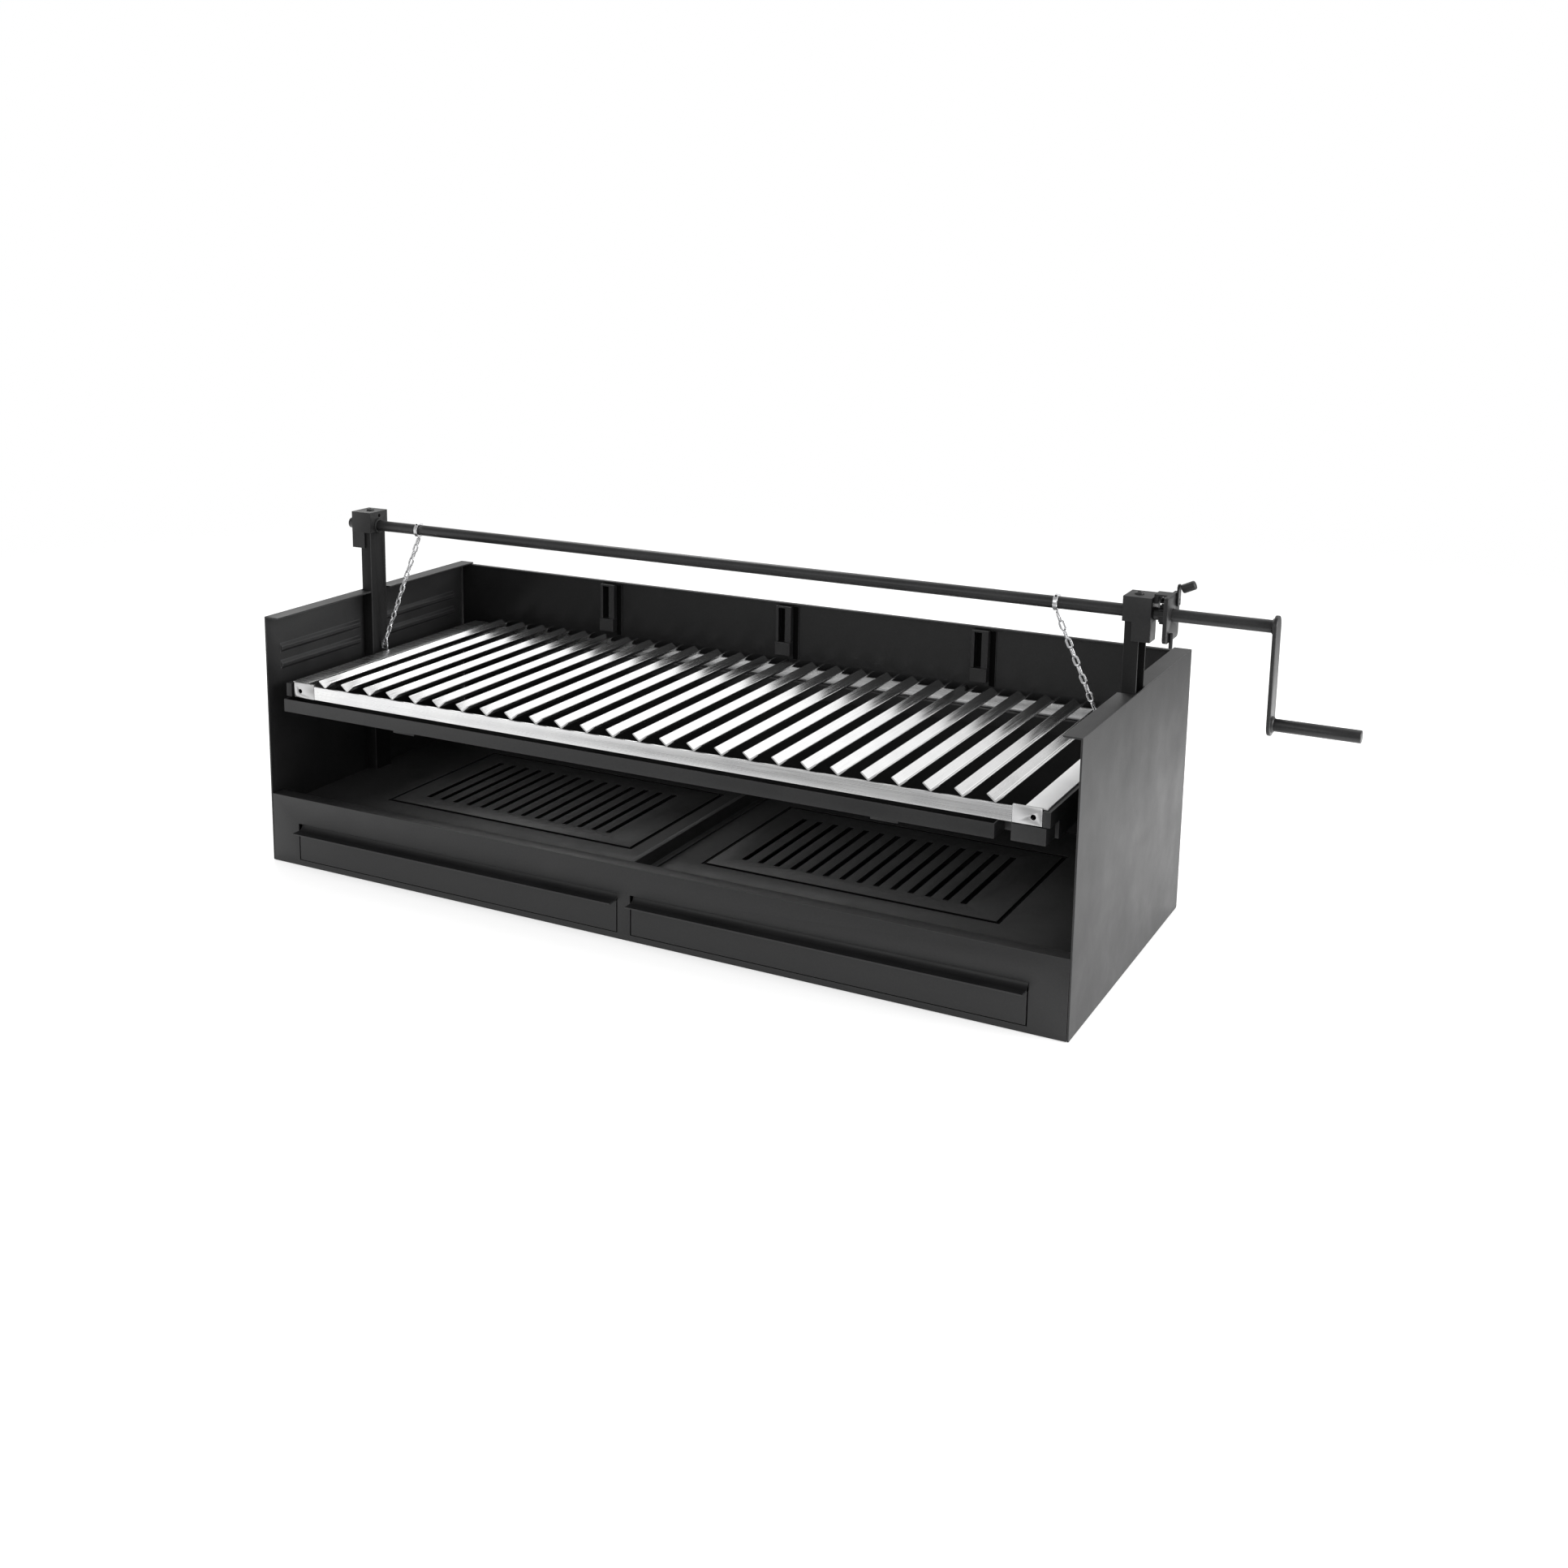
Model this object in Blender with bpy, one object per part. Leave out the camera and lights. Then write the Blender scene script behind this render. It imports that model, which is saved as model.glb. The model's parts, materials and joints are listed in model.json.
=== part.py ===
"""Built-in charcoal barbecue: a steel housing with two ash drawers and a grill that a crank lifts."""
import math

import bmesh
import bpy
from mathutils import Matrix, Vector

for leftover in list(bpy.data.objects):
    bpy.data.objects.remove(leftover, do_unlink=True)

# All sizes are in metres. X runs to the right, Y to the back and Z up from the underside.
TOUCH = 0.0003
SHARP_ANGLE = math.radians(35)
CORNER_STEPS = 4

# Housing
WIDTH = 1.000
DEPTH = 0.400
HEIGHT = 0.305
SHEET = 0.002
WALL_FLANGE = 0.020
BACK_HEM = 0.006
LEDGE_TOP = 0.085
FRONT_LEDGE = 0.018
SUPPORT_ANGLE = 0.015
RIB_DEPTH = 0.0025
RIB_WIDTH = 0.011
RIB_PITCH = 0.021
RIB_DROP = 0.0435
RIB_COUNT = 2
RIB_LENGTH = 0.150
RIB_MARGIN = 0.024

# Ash drawers
DRAWER_SPACING = 0.016
DRAWER_MARGIN = 0.042
OPENING_BOTTOM = 0.007
OPENING_TOP = 0.053
DRAWER_SHEET = 0.0015
DRAWER_LENGTH = 0.375
DRAWER_PLAY = 0.0015
PULL_TOP = 0.045
PULL_REACH = 0.014
RUNNER_HEIGHT = 0.024
RUNNER_SHELF = 0.012
RUNNER_SHEET = 0.0015

# Fire floor below the ledge, the upright plate across its middle and the two ash grates
FLOOR_DROP = 0.018
PLATE_THICKNESS = 0.006
PLATE_FOOT = 0.020
GRATE_MARGIN = 0.0525
GRATE_DEPTH = 0.224
GRATE_SHEET = 0.002
GRATE_GAP = 0.002
GRATE_INWARD = 0.013
GRATE_FRONT = 0.0945
GRATE_BEARING = 0.010
SLOT_COUNT = 14
SLOT_PITCH = 0.0200
SLOT_WIDTH = 0.005
SLOT_LENGTH = 0.160
SLOT_OFFSET = -0.0075

# Hangers on the back wall
HANGER_MARGIN = 0.243
HANGER_WIDTH = 0.017
HANGER_OFFSET = 0.009
HANGER_TOP = 0.299
HANGER_BOTTOM = 0.252
HANGER_FOOT = 0.016
HANGER_FOOT_WIDTH = 0.022

# Posts and shaft
POST_WIDTH = 0.015
POST_DEPTH = 0.030
POST_SHEET = 0.002
POST_TOP = 0.403
SHAFT_Y = -0.003
SHAFT_BELOW_TOP = 0.016
SHAFT_RADIUS = 0.0065
SHAFT_PLAY = 0.0005
SHAFT_STUB = 0.015
HEAD_OVERHANG = 0.0095
HEAD_DROP = 0.026
HEAD_TAB = 0.020
HEAD_TAB_DEPTH = 0.019
BUSH_RADIUS = 0.0095
BUSH_LENGTH = 0.007

# Ratchet
BRACKET_SHEET = 0.004
BRACKET_WEB = 0.002
BRACKET_DEPTH = 0.048
BRACKET_CORNER = 0.005
BRACKET_BELOW_SHAFT = 0.026
STRAP_DEPTH = 0.018
STRAP_LIP = 0.0095
BRACKET_ABOVE_PAWL = 0.007
BRACKET_INSIDE = 0.0095
RATCHET_TEETH = 10
TOOTH_CREST = 0.12
TOOTH_FACE = 0.22
RATCHET_TIP = 0.0105
RATCHET_ROOT = 0.0080
RATCHET_THICKNESS = 0.008
PAWL_Y = 0.0125
PAWL_Z = 0.0125
PAWL_BOSS = 0.0038
PAWL_TIP_CLEARANCE = 0.0008
PAWL_REACH = 0.002
PAWL_ARM = 0.0035
PAWL_NOSE = 0.0016
PAWL_RELIEF = 0.001
PAWL_PIN_RADIUS = 0.0025
LEVER_RISE = 0.0125
LEVER_SHEET = 0.002
KNOB_RADIUS = 0.0047
KNOB_LENGTH = 0.014
KNOB_TILT = math.radians(25)

# Crank
CRANK_REACH = 0.127
CRANK_RADIUS = 0.099
CRANK_SHEET = 0.004
CRANK_HALF_WIDTH = 0.0115
GRIP_LENGTH = 0.084
GRIP_RADIUS = 0.0065

# Grill
GRILL_REST = 0.2095
BAR_PITCH = 0.0332
BAR_WIDTH = 0.0205
BAR_DEPTH = 0.0085
BAR_SHEET = 0.0015
RAIL_HEIGHT = 0.0160
RAIL_SHEET = 0.003
RAIL_FLANGE = 0.0225
RAIL_MARGIN = 0.0557
GRILL_FRONT = 0.006
GRILL_BACK = 0.016
END_INSET = 0.0046
END_HOLE_RADIUS = 0.0028
END_HOLE_MARGIN = 0.0089
STRIP_WIDTH = 0.010
STRIP_INSET = 0.012
STRIP_BELOW = 0.001
STRIP_ABOVE = 0.0025

# Lifting frame and grease tray
FRAME_SHIFT = -0.002
ARM_MARGIN = 0.0274
ARM_WIDTH = 0.0078
CROSSBAR_HEIGHT = 0.0185
CROSSBAR_DEPTH = 0.012
TRAY_LEFT_MARGIN = 0.0235
TRAY_RIGHT_MARGIN = 0.084
TRAY_DEPTH = 0.030
TRAY_HEIGHT = 0.0155
TRAY_DROP = 0.0035
TRAY_SHEET = 0.0015
TRAY_FRONT = 0.003
TONGUE_SHEET = 0.003
TONGUE_WIDTH = 0.030
TONGUE_MARGIN = 0.200
LUG_WIDTH = 0.035

# Chains
CHAIN_MARGIN = 0.088
CHAIN_SHIFT = -0.005
LINK_COUNT = 11
EYE_RISE = 0.0095
EYE_WIDTH = 0.0100
EYE_SHEET = 0.0018
EYE_THICKNESS = 0.0022
WIRE_RADIUS = 0.0014
LINK_WIDTH = 0.0085
LINK_OVERLAP = 0.0003
COLLAR_RADIUS = 0.0088
COLLAR_WIDTH = 0.007

# Places that follow from the sizes
FRONT = -DEPTH / 2
BACK = DEPTH / 2
SIDE = WIDTH / 2
INSIDE = SIDE - SHEET - TOUCH
FLOOR_TOP = LEDGE_TOP - FLOOR_DROP
PAN_BOTTOM = FLOOR_TOP - SHEET
DRAWER_INNER_X = DRAWER_SPACING / 2
DRAWER_OPENING = SIDE - DRAWER_INNER_X - DRAWER_MARGIN
DRAWER_CENTRE = DRAWER_INNER_X + DRAWER_OPENING / 2
GRATE_WIDTH = DRAWER_OPENING - 2 * GRATE_MARGIN
GRATE_X = DRAWER_CENTRE - GRATE_INWARD
HANGER_SPACING = SIDE - HANGER_MARGIN
SHAFT_Z = POST_TOP - SHAFT_BELOW_TOP
POST_OUTER = INSIDE
POST_INNER = POST_OUTER - POST_WIDTH
POST_FRONT = SHAFT_Y - POST_DEPTH / 2
POST_BACK = SHAFT_Y + POST_DEPTH / 2
HEAD_INNER = POST_INNER - POST_SHEET - TOUCH
HEAD_OUTER = SIDE + HEAD_OVERHANG
HEAD_TOP = POST_TOP + TOUCH + POST_SHEET
BRACKET_TOP = SHAFT_Z + PAWL_Z + BRACKET_ABOVE_PAWL + BRACKET_WEB
BRACKET_BOTTOM = SHAFT_Z - BRACKET_BELOW_SHAFT
BRACKET_INNER = HEAD_OUTER + TOUCH
BRACKET_OUTER = BRACKET_INNER + 2 * BRACKET_SHEET + BRACKET_INSIDE
CRANK_INNER = SIDE + CRANK_REACH
RAIL_TOP = GRILL_REST + TOUCH + RAIL_HEIGHT
RAIL_INNER = SIDE - RAIL_MARGIN
BAR_COUNT = int(2 * RAIL_INNER / BAR_PITCH)
SHAFT_BORE = SHAFT_RADIUS + SHAFT_PLAY
ARM_OUTER = SIDE - ARM_MARGIN
CROSSBAR_BOTTOM = GRILL_REST - CROSSBAR_HEIGHT
ARM_TOP = RAIL_TOP - TOUCH
TRAY_TOP = GRILL_REST - TRAY_DROP
TRAY_LEFT = TRAY_LEFT_MARGIN - SIDE
TRAY_LENGTH = WIDTH - TRAY_LEFT_MARGIN - TRAY_RIGHT_MARGIN
TONGUE_X = SIDE - TONGUE_MARGIN
CHAIN_TOP_X = SIDE - CHAIN_MARGIN
TRAY_BACK = FRONT + TRAY_FRONT + TRAY_DEPTH + 2 * TOUCH
EYE_X = RAIL_INNER + RAIL_FLANGE + TOUCH + EYE_WIDTH / 2 - FRAME_SHIFT
EYE_Z = ARM_TOP + EYE_RISE


def metal(name, colour, roughness, metallic):
    """Return a plain material with the colour of one metal finish."""
    finish = bpy.data.materials.new(name)
    finish.use_nodes = True
    shader = finish.node_tree.nodes["Principled BSDF"]
    shader.inputs["Base Color"].default_value = (*colour, 1.0)
    shader.inputs["Roughness"].default_value = roughness
    shader.inputs["Metallic"].default_value = metallic
    return finish


def axis_empty(name, x, y, z):
    """Return an empty that stands on a body's joint axis."""
    empty = bpy.data.objects.new(name, None)
    empty.location = (x, y, z)
    bpy.context.scene.collection.objects.link(empty)
    return empty


def finish_object(name, form, parent, finish, smooth=False):
    """Turn a bmesh in world places into an object under its parent."""
    form.transform(Matrix.Translation(-parent.location))
    bmesh.ops.recalc_face_normals(form, faces=form.faces)
    mesh = bpy.data.meshes.new(name)
    form.to_mesh(mesh)
    form.free()
    if smooth:
        mesh.shade_smooth()
        mesh.set_sharp_from_angle(angle=SHARP_ANGLE)
    piece = bpy.data.objects.new(name, mesh)
    piece.parent = parent
    bpy.context.scene.collection.objects.link(piece)
    if finish:
        piece.data.materials.append(finish)
    return piece


def block_form(low, high):
    """Return a bmesh of a box between two corners."""
    form = bmesh.new()
    bmesh.ops.create_cube(form, size=1.0)
    size = [b - a for a, b in zip(low, high)]
    centre = [(a + b) / 2 for a, b in zip(low, high)]
    form.transform(Matrix.Translation(centre) @ Matrix.Diagonal((*size, 1.0)))
    return form


def prism_form(outline, axis, start, end):
    """Return a bmesh of a flat outline pushed along one axis."""
    form = bmesh.new()
    places = {
        "X": lambda u, v, w: (w, u, v),
        "Y": lambda u, v, w: (u, w, v),
        "Z": lambda u, v, w: (u, v, w),
    }
    corners = [form.verts.new(places[axis](u, v, start)) for u, v in outline]
    base = form.faces.new(corners)
    pushed = bmesh.ops.extrude_face_region(form, geom=[base])
    moved = [item for item in pushed["geom"] if isinstance(item, bmesh.types.BMVert)]
    bmesh.ops.translate(form, verts=moved, vec=Vector(places[axis](0, 0, end - start)))
    return form


def rod_form(y, z, radius, start, end, sides=24):
    """Return a bmesh of a round bar along X."""
    outline = [
        (y + radius * math.cos(2 * math.pi * k / sides), z + radius * math.sin(2 * math.pi * k / sides))
        for k in range(sides)
    ]
    return prism_form(outline, "X", start, end)


def joined_form(forms):
    """Return one bmesh that holds several bodies."""
    whole = bmesh.new()
    for form in forms:
        part = bpy.data.meshes.new("part")
        form.to_mesh(part)
        form.free()
        whole.from_mesh(part)
        bpy.data.meshes.remove(part)
    return whole


def combine(piece, form, operation):
    """Cut a form out of a piece, or fuse the form with it."""
    helper = finish_object(f"{piece.name}.{operation.lower()}", form, piece.parent, None)
    helper.hide_render = True
    helper.display_type = "WIRE"
    step = piece.modifiers.new(operation.title(), "BOOLEAN")
    step.operation = operation
    step.solver = "EXACT"
    step.use_self = operation == "UNION"
    step.object = helper
    return piece


def cut(piece, form):
    """Cut a form out of a piece."""
    return combine(piece, form, "DIFFERENCE")


def fuse(piece, form):
    """Weld a form onto a piece."""
    return combine(piece, form, "UNION")


def block(name, low, high, parent, finish):
    """Make a plain box."""
    return finish_object(name, block_form(low, high), parent, finish)


def mirrored(side, low_x, high_x):
    """Return an X range on the left for side -1 or on the right for side 1."""
    return sorted((side * low_x, side * high_x))


BLACK_STEEL = metal("black_steel", (0.028, 0.028, 0.030), 0.55, 0.6)
GREY_STEEL = metal("grey_steel", (0.045, 0.046, 0.048), 0.5, 0.6)
STAINLESS = metal("stainless", (0.72, 0.73, 0.74), 0.28, 1.0)
ZINC = metal("zinc", (0.70, 0.71, 0.72), 0.3, 1.0)
SHAFT_STEEL = metal("shaft_steel", (0.05, 0.05, 0.052), 0.45, 0.7)

housing = axis_empty("housing", 0, 0, 0)
winch = axis_empty("winch", 0, SHAFT_Y, SHAFT_Z)
pawl_axis = axis_empty("pawl_axis", 0, SHAFT_Y + PAWL_Y, SHAFT_Z + PAWL_Z)
lift = axis_empty("lift", 0, 0, GRILL_REST)
tray_slide = axis_empty("tray_slide", 0, FRONT, TRAY_TOP)


def side_wall(name, side):
    """A side wall: one folded sheet with a flange along its top and ribs pressed into its inner face."""
    outline = [
        (side * SIDE, 0),
        (side * SIDE, HEIGHT),
        (side * (SIDE - WALL_FLANGE), HEIGHT),
        (side * (SIDE - WALL_FLANGE), HEIGHT - SHEET),
        (side * (SIDE - SHEET), HEIGHT - SHEET),
        (side * (SIDE - SHEET), 0),
    ]
    wall = finish_object(name, prism_form(outline, "Y", FRONT, BACK), housing, GREY_STEEL)
    notch = mirrored(side, SIDE - WALL_FLANGE - SHEET, SIDE - SHEET - TOUCH / 2)
    notch_low = (notch[0], POST_FRONT - 2 * POST_SHEET, HEIGHT - 2 * SHEET)
    notch_high = (notch[1], POST_BACK + 2 * POST_SHEET, HEIGHT + SHEET)
    cut(wall, block_form(notch_low, notch_high))
    return fuse(wall, joined_form(wall_ribs(side)))


def wall_ribs(side):
    """The pressed ribs of one wall above the grill, before and behind the post."""
    ribs = []
    for k in range(RIB_COUNT):
        level = HEIGHT - RIB_DROP - RIB_PITCH * k
        for start in (FRONT + RIB_MARGIN, BACK - RIB_MARGIN - RIB_LENGTH):
            root = side * (SIDE - SHEET / 2)
            crest = side * (SIDE - SHEET - RIB_DEPTH)
            outline = [
                (root, level - RIB_WIDTH / 2),
                (root, level + RIB_WIDTH / 2),
                (side * (SIDE - SHEET), level + RIB_WIDTH / 2),
                (crest, level + RIB_WIDTH / 6),
                (crest, level - RIB_WIDTH / 6),
                (side * (SIDE - SHEET), level - RIB_WIDTH / 2),
            ]
            ribs.append(prism_form(outline, "Y", start, start + RIB_LENGTH))
    return ribs


def back_wall():
    """The back sheet, which stands between the side walls and under their flanges."""
    top = HEIGHT - SHEET - TOUCH
    outline = [
        (BACK, 0),
        (BACK, top),
        (BACK - BACK_HEM, top),
        (BACK - BACK_HEM, top - SHEET),
        (BACK - SHEET, top - SHEET),
        (BACK - SHEET, 0),
    ]
    finish_object("back_wall", prism_form(outline, "X", -INSIDE, INSIDE), housing, GREY_STEEL)


def front_panel():
    """The front sheet with two drawer openings, folded back along the top as a ledge."""
    outline = [
        (FRONT, 0),
        (FRONT, LEDGE_TOP),
        (FRONT + FRONT_LEDGE, LEDGE_TOP),
        (FRONT + FRONT_LEDGE, LEDGE_TOP - SHEET),
        (FRONT + SHEET, LEDGE_TOP - SHEET),
        (FRONT + SHEET, 0),
    ]
    panel = finish_object("front_panel", prism_form(outline, "X", -INSIDE, INSIDE), housing, GREY_STEEL)
    windows = []
    for side in (-1, 1):
        left, right = mirrored(side, DRAWER_INNER_X, DRAWER_INNER_X + DRAWER_OPENING)
        high = (right, FRONT + 2 * SHEET, OPENING_TOP)
        windows.append(block_form((left, FRONT - SHEET, OPENING_BOTTOM), high))
    cut(panel, joined_form(windows))


def base_and_divider():
    """The bottom sheet and the upright sheet between the drawers."""
    front = FRONT + SHEET + TOUCH
    back = BACK - SHEET - TOUCH
    block("base_plate", (-INSIDE, front, 0), (INSIDE, back, SHEET), housing, BLACK_STEEL)
    low = SHEET + TOUCH
    high = PAN_BOTTOM - TOUCH
    half = DRAWER_SPACING / 2 - 2 * DRAWER_PLAY
    outline = [
        (-half, high),
        (-half, high - SHEET),
        (-SHEET / 2, high - SHEET),
        (-SHEET / 2, low),
        (SHEET / 2, low),
        (SHEET / 2, high - SHEET),
        (half, high - SHEET),
        (half, high),
    ]
    finish_object("divider", prism_form(outline, "Y", front, back), housing, BLACK_STEEL)


def hearth_support(name, side):
    """An angle on a side wall that carries the hearth pan."""
    top = PAN_BOTTOM - TOUCH
    outline = [
        (side * INSIDE, top - SUPPORT_ANGLE),
        (side * INSIDE, top),
        (side * (INSIDE - SUPPORT_ANGLE), top),
        (side * (INSIDE - SUPPORT_ANGLE), top - SHEET),
        (side * (INSIDE - SHEET), top - SHEET),
        (side * (INSIDE - SHEET), top - SUPPORT_ANGLE),
    ]
    start = FRONT + SHEET + TOUCH
    finish_object(name, prism_form(outline, "Y", start, BACK - SHEET - TOUCH), housing, BLACK_STEEL)


def grate_block(side, margin, bottom, top):
    """A block as wide as a grate with a margin all round it."""
    middle = FRONT + GRATE_FRONT + GRATE_DEPTH / 2
    half_width = GRATE_WIDTH / 2 + margin
    half_depth = GRATE_DEPTH / 2 + margin
    low = (side * GRATE_X - half_width, middle - half_depth, bottom)
    return block_form(low, (side * GRATE_X + half_width, middle + half_depth, top))


def hearth_pan():
    """The floor of the fire, with an opening for each grate and a welded rim under it."""
    low = (-INSIDE, FRONT + SHEET + TOUCH, PAN_BOTTOM)
    pan = block("hearth_pan", low, (INSIDE, BACK - SHEET - TOUCH, FLOOR_TOP), housing, GREY_STEEL)
    rims = [grate_block(side, GRATE_BEARING, PAN_BOTTOM - SHEET, FLOOR_TOP - SHEET / 2) for side in (-1, 1)]
    fuse(pan, joined_form(rims))
    seats = [grate_block(side, GRATE_GAP, PAN_BOTTOM, FLOOR_TOP + SHEET) for side in (-1, 1)]
    cut(pan, joined_form(seats))
    holes = [grate_block(side, -GRATE_BEARING, PAN_BOTTOM - 2 * SHEET, FLOOR_TOP) for side in (-1, 1)]
    cut(pan, joined_form(holes))


def hearth_plate():
    """The upright plate that stands on its foot between the two halves of the fire floor."""
    bottom = FLOOR_TOP + TOUCH
    outline = [
        (-PLATE_FOOT / 2, bottom),
        (-PLATE_FOOT / 2, bottom + SHEET),
        (-PLATE_THICKNESS / 2, bottom + SHEET),
        (-PLATE_THICKNESS / 2, LEDGE_TOP),
        (PLATE_THICKNESS / 2, LEDGE_TOP),
        (PLATE_THICKNESS / 2, bottom + SHEET),
        (PLATE_FOOT / 2, bottom + SHEET),
        (PLATE_FOOT / 2, bottom),
    ]
    upright = prism_form(outline, "Y", FRONT + FRONT_LEDGE + TOUCH, BACK - SHEET - TOUCH)
    finish_object("hearth_plate", upright, housing, GREY_STEEL)


def grate(name, side):
    """A loose steel grate with long slots, which lies on the rim of its opening."""
    bottom = PAN_BOTTOM + TOUCH
    top = bottom + GRATE_SHEET
    plate = finish_object(name, grate_block(side, 0, bottom, top), housing, BLACK_STEEL)
    middle = FRONT + GRATE_FRONT + GRATE_DEPTH / 2
    slots = []
    for k in range(SLOT_COUNT):
        x = side * GRATE_X + SLOT_OFFSET + (k - (SLOT_COUNT - 1) / 2) * SLOT_PITCH
        slot_low = (x - SLOT_WIDTH / 2, middle - SLOT_LENGTH / 2, bottom - GRATE_SHEET)
        slot_high = (x + SLOT_WIDTH / 2, middle + SLOT_LENGTH / 2, top + GRATE_SHEET)
        slots.append(block_form(slot_low, slot_high))
    cut(plate, joined_form(slots))


def drawer_runner(name, edge, inward):
    """A rail beside a drawer: a foot on the base, an upright and the shelf the drawer slides on."""
    low = SHEET + TOUCH
    shelf = OPENING_BOTTOM + DRAWER_PLAY / 2 - TOUCH
    sheet = RUNNER_SHEET
    outline = [
        (edge, low),
        (edge, RUNNER_HEIGHT),
        (edge + inward * sheet, RUNNER_HEIGHT),
        (edge + inward * sheet, shelf),
        (edge + inward * RUNNER_SHELF, shelf),
        (edge + inward * RUNNER_SHELF, shelf - sheet),
        (edge + inward * sheet, shelf - sheet),
        (edge + inward * sheet, low + sheet),
        (edge + inward * RUNNER_SHELF, low + sheet),
        (edge + inward * RUNNER_SHELF, low),
    ]
    start = FRONT + SHEET + TOUCH
    finish_object(name, prism_form(outline, "Y", start, start + DRAWER_LENGTH), housing, BLACK_STEEL)


def ash_drawer(name, side):
    """An ash drawer: an open tray and its front with the pull folded outwards."""
    slide = axis_empty(f"{name}_slide", side * DRAWER_CENTRE, FRONT, OPENING_BOTTOM)
    half = DRAWER_OPENING / 2 - DRAWER_PLAY
    x = side * DRAWER_CENTRE
    bottom = OPENING_BOTTOM + DRAWER_PLAY / 2
    front = FRONT + DRAWER_SHEET + TOUCH
    low = (x - half, front, bottom)
    high = (x + half, front + DRAWER_LENGTH, PULL_TOP - 2 * DRAWER_SHEET)
    tray = block(f"{name}_tray", low, high, slide, BLACK_STEEL)
    inner_low = [value + DRAWER_SHEET for value in low]
    inner_high = (high[0] - DRAWER_SHEET, high[1] - DRAWER_SHEET, high[2] + DRAWER_SHEET)
    cut(tray, block_form(inner_low, inner_high))
    outline = [
        (FRONT, bottom),
        (FRONT, PULL_TOP - DRAWER_SHEET),
        (FRONT - PULL_REACH, PULL_TOP - DRAWER_SHEET),
        (FRONT - PULL_REACH, PULL_TOP),
        (FRONT + DRAWER_SHEET, PULL_TOP),
        (FRONT + DRAWER_SHEET, bottom),
    ]
    finish_object(f"{name}_front", prism_form(outline, "X", x - half, x + half), slide, GREY_STEEL)


def hanger(name, x):
    """A folded strip on the back wall with a block at its foot."""
    wall = BACK - SHEET - TOUCH
    face = wall - HANGER_OFFSET
    outline = [
        (wall, HANGER_TOP),
        (face, HANGER_TOP),
        (face, HANGER_BOTTOM),
        (wall, HANGER_BOTTOM),
        (wall, HANGER_BOTTOM + SHEET),
        (face + SHEET, HANGER_BOTTOM + SHEET),
        (face + SHEET, HANGER_TOP - SHEET),
        (wall, HANGER_TOP - SHEET),
    ]
    strip = prism_form(outline, "X", x - HANGER_WIDTH / 2, x + HANGER_WIDTH / 2)
    piece = finish_object(name, strip, housing, GREY_STEEL)
    foot_left = x - HANGER_WIDTH / 2 - SHEET
    foot_low = (foot_left, face - SHEET, HANGER_BOTTOM + SHEET / 2 - HANGER_FOOT)
    foot_high = (foot_left + HANGER_FOOT_WIDTH, wall, HANGER_BOTTOM + SHEET / 2)
    fuse(piece, block_form(foot_low, foot_high))


def post(name, side):
    """A channel post that stands on the hearth pan against the wall, pierced for the shaft."""
    outline = [
        (side * POST_OUTER, POST_FRONT),
        (side * POST_INNER, POST_FRONT),
        (side * POST_INNER, POST_BACK),
        (side * POST_OUTER, POST_BACK),
        (side * POST_OUTER, POST_BACK - POST_SHEET),
        (side * (POST_INNER + POST_SHEET), POST_BACK - POST_SHEET),
        (side * (POST_INNER + POST_SHEET), POST_FRONT + POST_SHEET),
        (side * POST_OUTER, POST_FRONT + POST_SHEET),
    ]
    column = finish_object(name, prism_form(outline, "Z", FLOOR_TOP + TOUCH, POST_TOP), housing, GREY_STEEL)
    start, end = mirrored(side, POST_INNER - POST_SHEET, POST_OUTER + POST_SHEET)
    cut(column, rod_form(SHAFT_Y, SHAFT_Z, SHAFT_BORE, start, end))


def post_head(name, side):
    """The cap over a post that carries the shaft, with a tab down its outer face."""
    margin = POST_SHEET + TOUCH
    left, right = mirrored(side, HEAD_INNER, HEAD_OUTER)
    low = (left, POST_FRONT - margin, HEAD_TOP - HEAD_DROP)
    high = (right, POST_BACK + margin, HEAD_TOP)
    cap = block(name, low, high, housing, GREY_STEEL)
    cavity_low = (left + POST_SHEET, POST_FRONT - TOUCH, low[2] - POST_SHEET)
    cavity_high = (right - POST_SHEET, POST_BACK + TOUCH, HEAD_TOP - POST_SHEET)
    cut(cap, block_form(cavity_low, cavity_high))
    tab = mirrored(side, SIDE + TOUCH, HEAD_OUTER)
    tab_low = (tab[0], POST_FRONT, low[2] - HEAD_TAB)
    tab_high = (tab[1], POST_FRONT + HEAD_TAB_DEPTH, low[2] + POST_SHEET)
    fuse(cap, block_form(tab_low, tab_high))
    cut(cap, rod_form(SHAFT_Y, SHAFT_Z, SHAFT_BORE, left - SHEET, right + SHEET))


def bush(name, side):
    """The round bearing bush on the inner face of a head."""
    start, end = mirrored(side, HEAD_INNER - TOUCH - BUSH_LENGTH, HEAD_INNER - TOUCH)
    ring = rod_form(SHAFT_Y, SHAFT_Z, BUSH_RADIUS, start, end)
    piece = finish_object(name, ring, housing, BLACK_STEEL, smooth=True)
    cut(piece, rod_form(SHAFT_Y, SHAFT_Z, SHAFT_BORE, start - SHEET, end + SHEET))


def rounded_outline(low, high, radius):
    """The outline of a rectangle with round corners."""
    centres = [
        (high[0] - radius, high[1] - radius),
        (low[0] + radius, high[1] - radius),
        (low[0] + radius, low[1] + radius),
        (high[0] - radius, low[1] + radius),
    ]
    outline = []
    for quarter, (u, v) in enumerate(centres):
        for step in range(CORNER_STEPS + 1):
            angle = math.pi / 2 * (quarter + step / CORNER_STEPS)
            outline.append((u + radius * math.cos(angle), v + radius * math.sin(angle)))
    return outline


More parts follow.
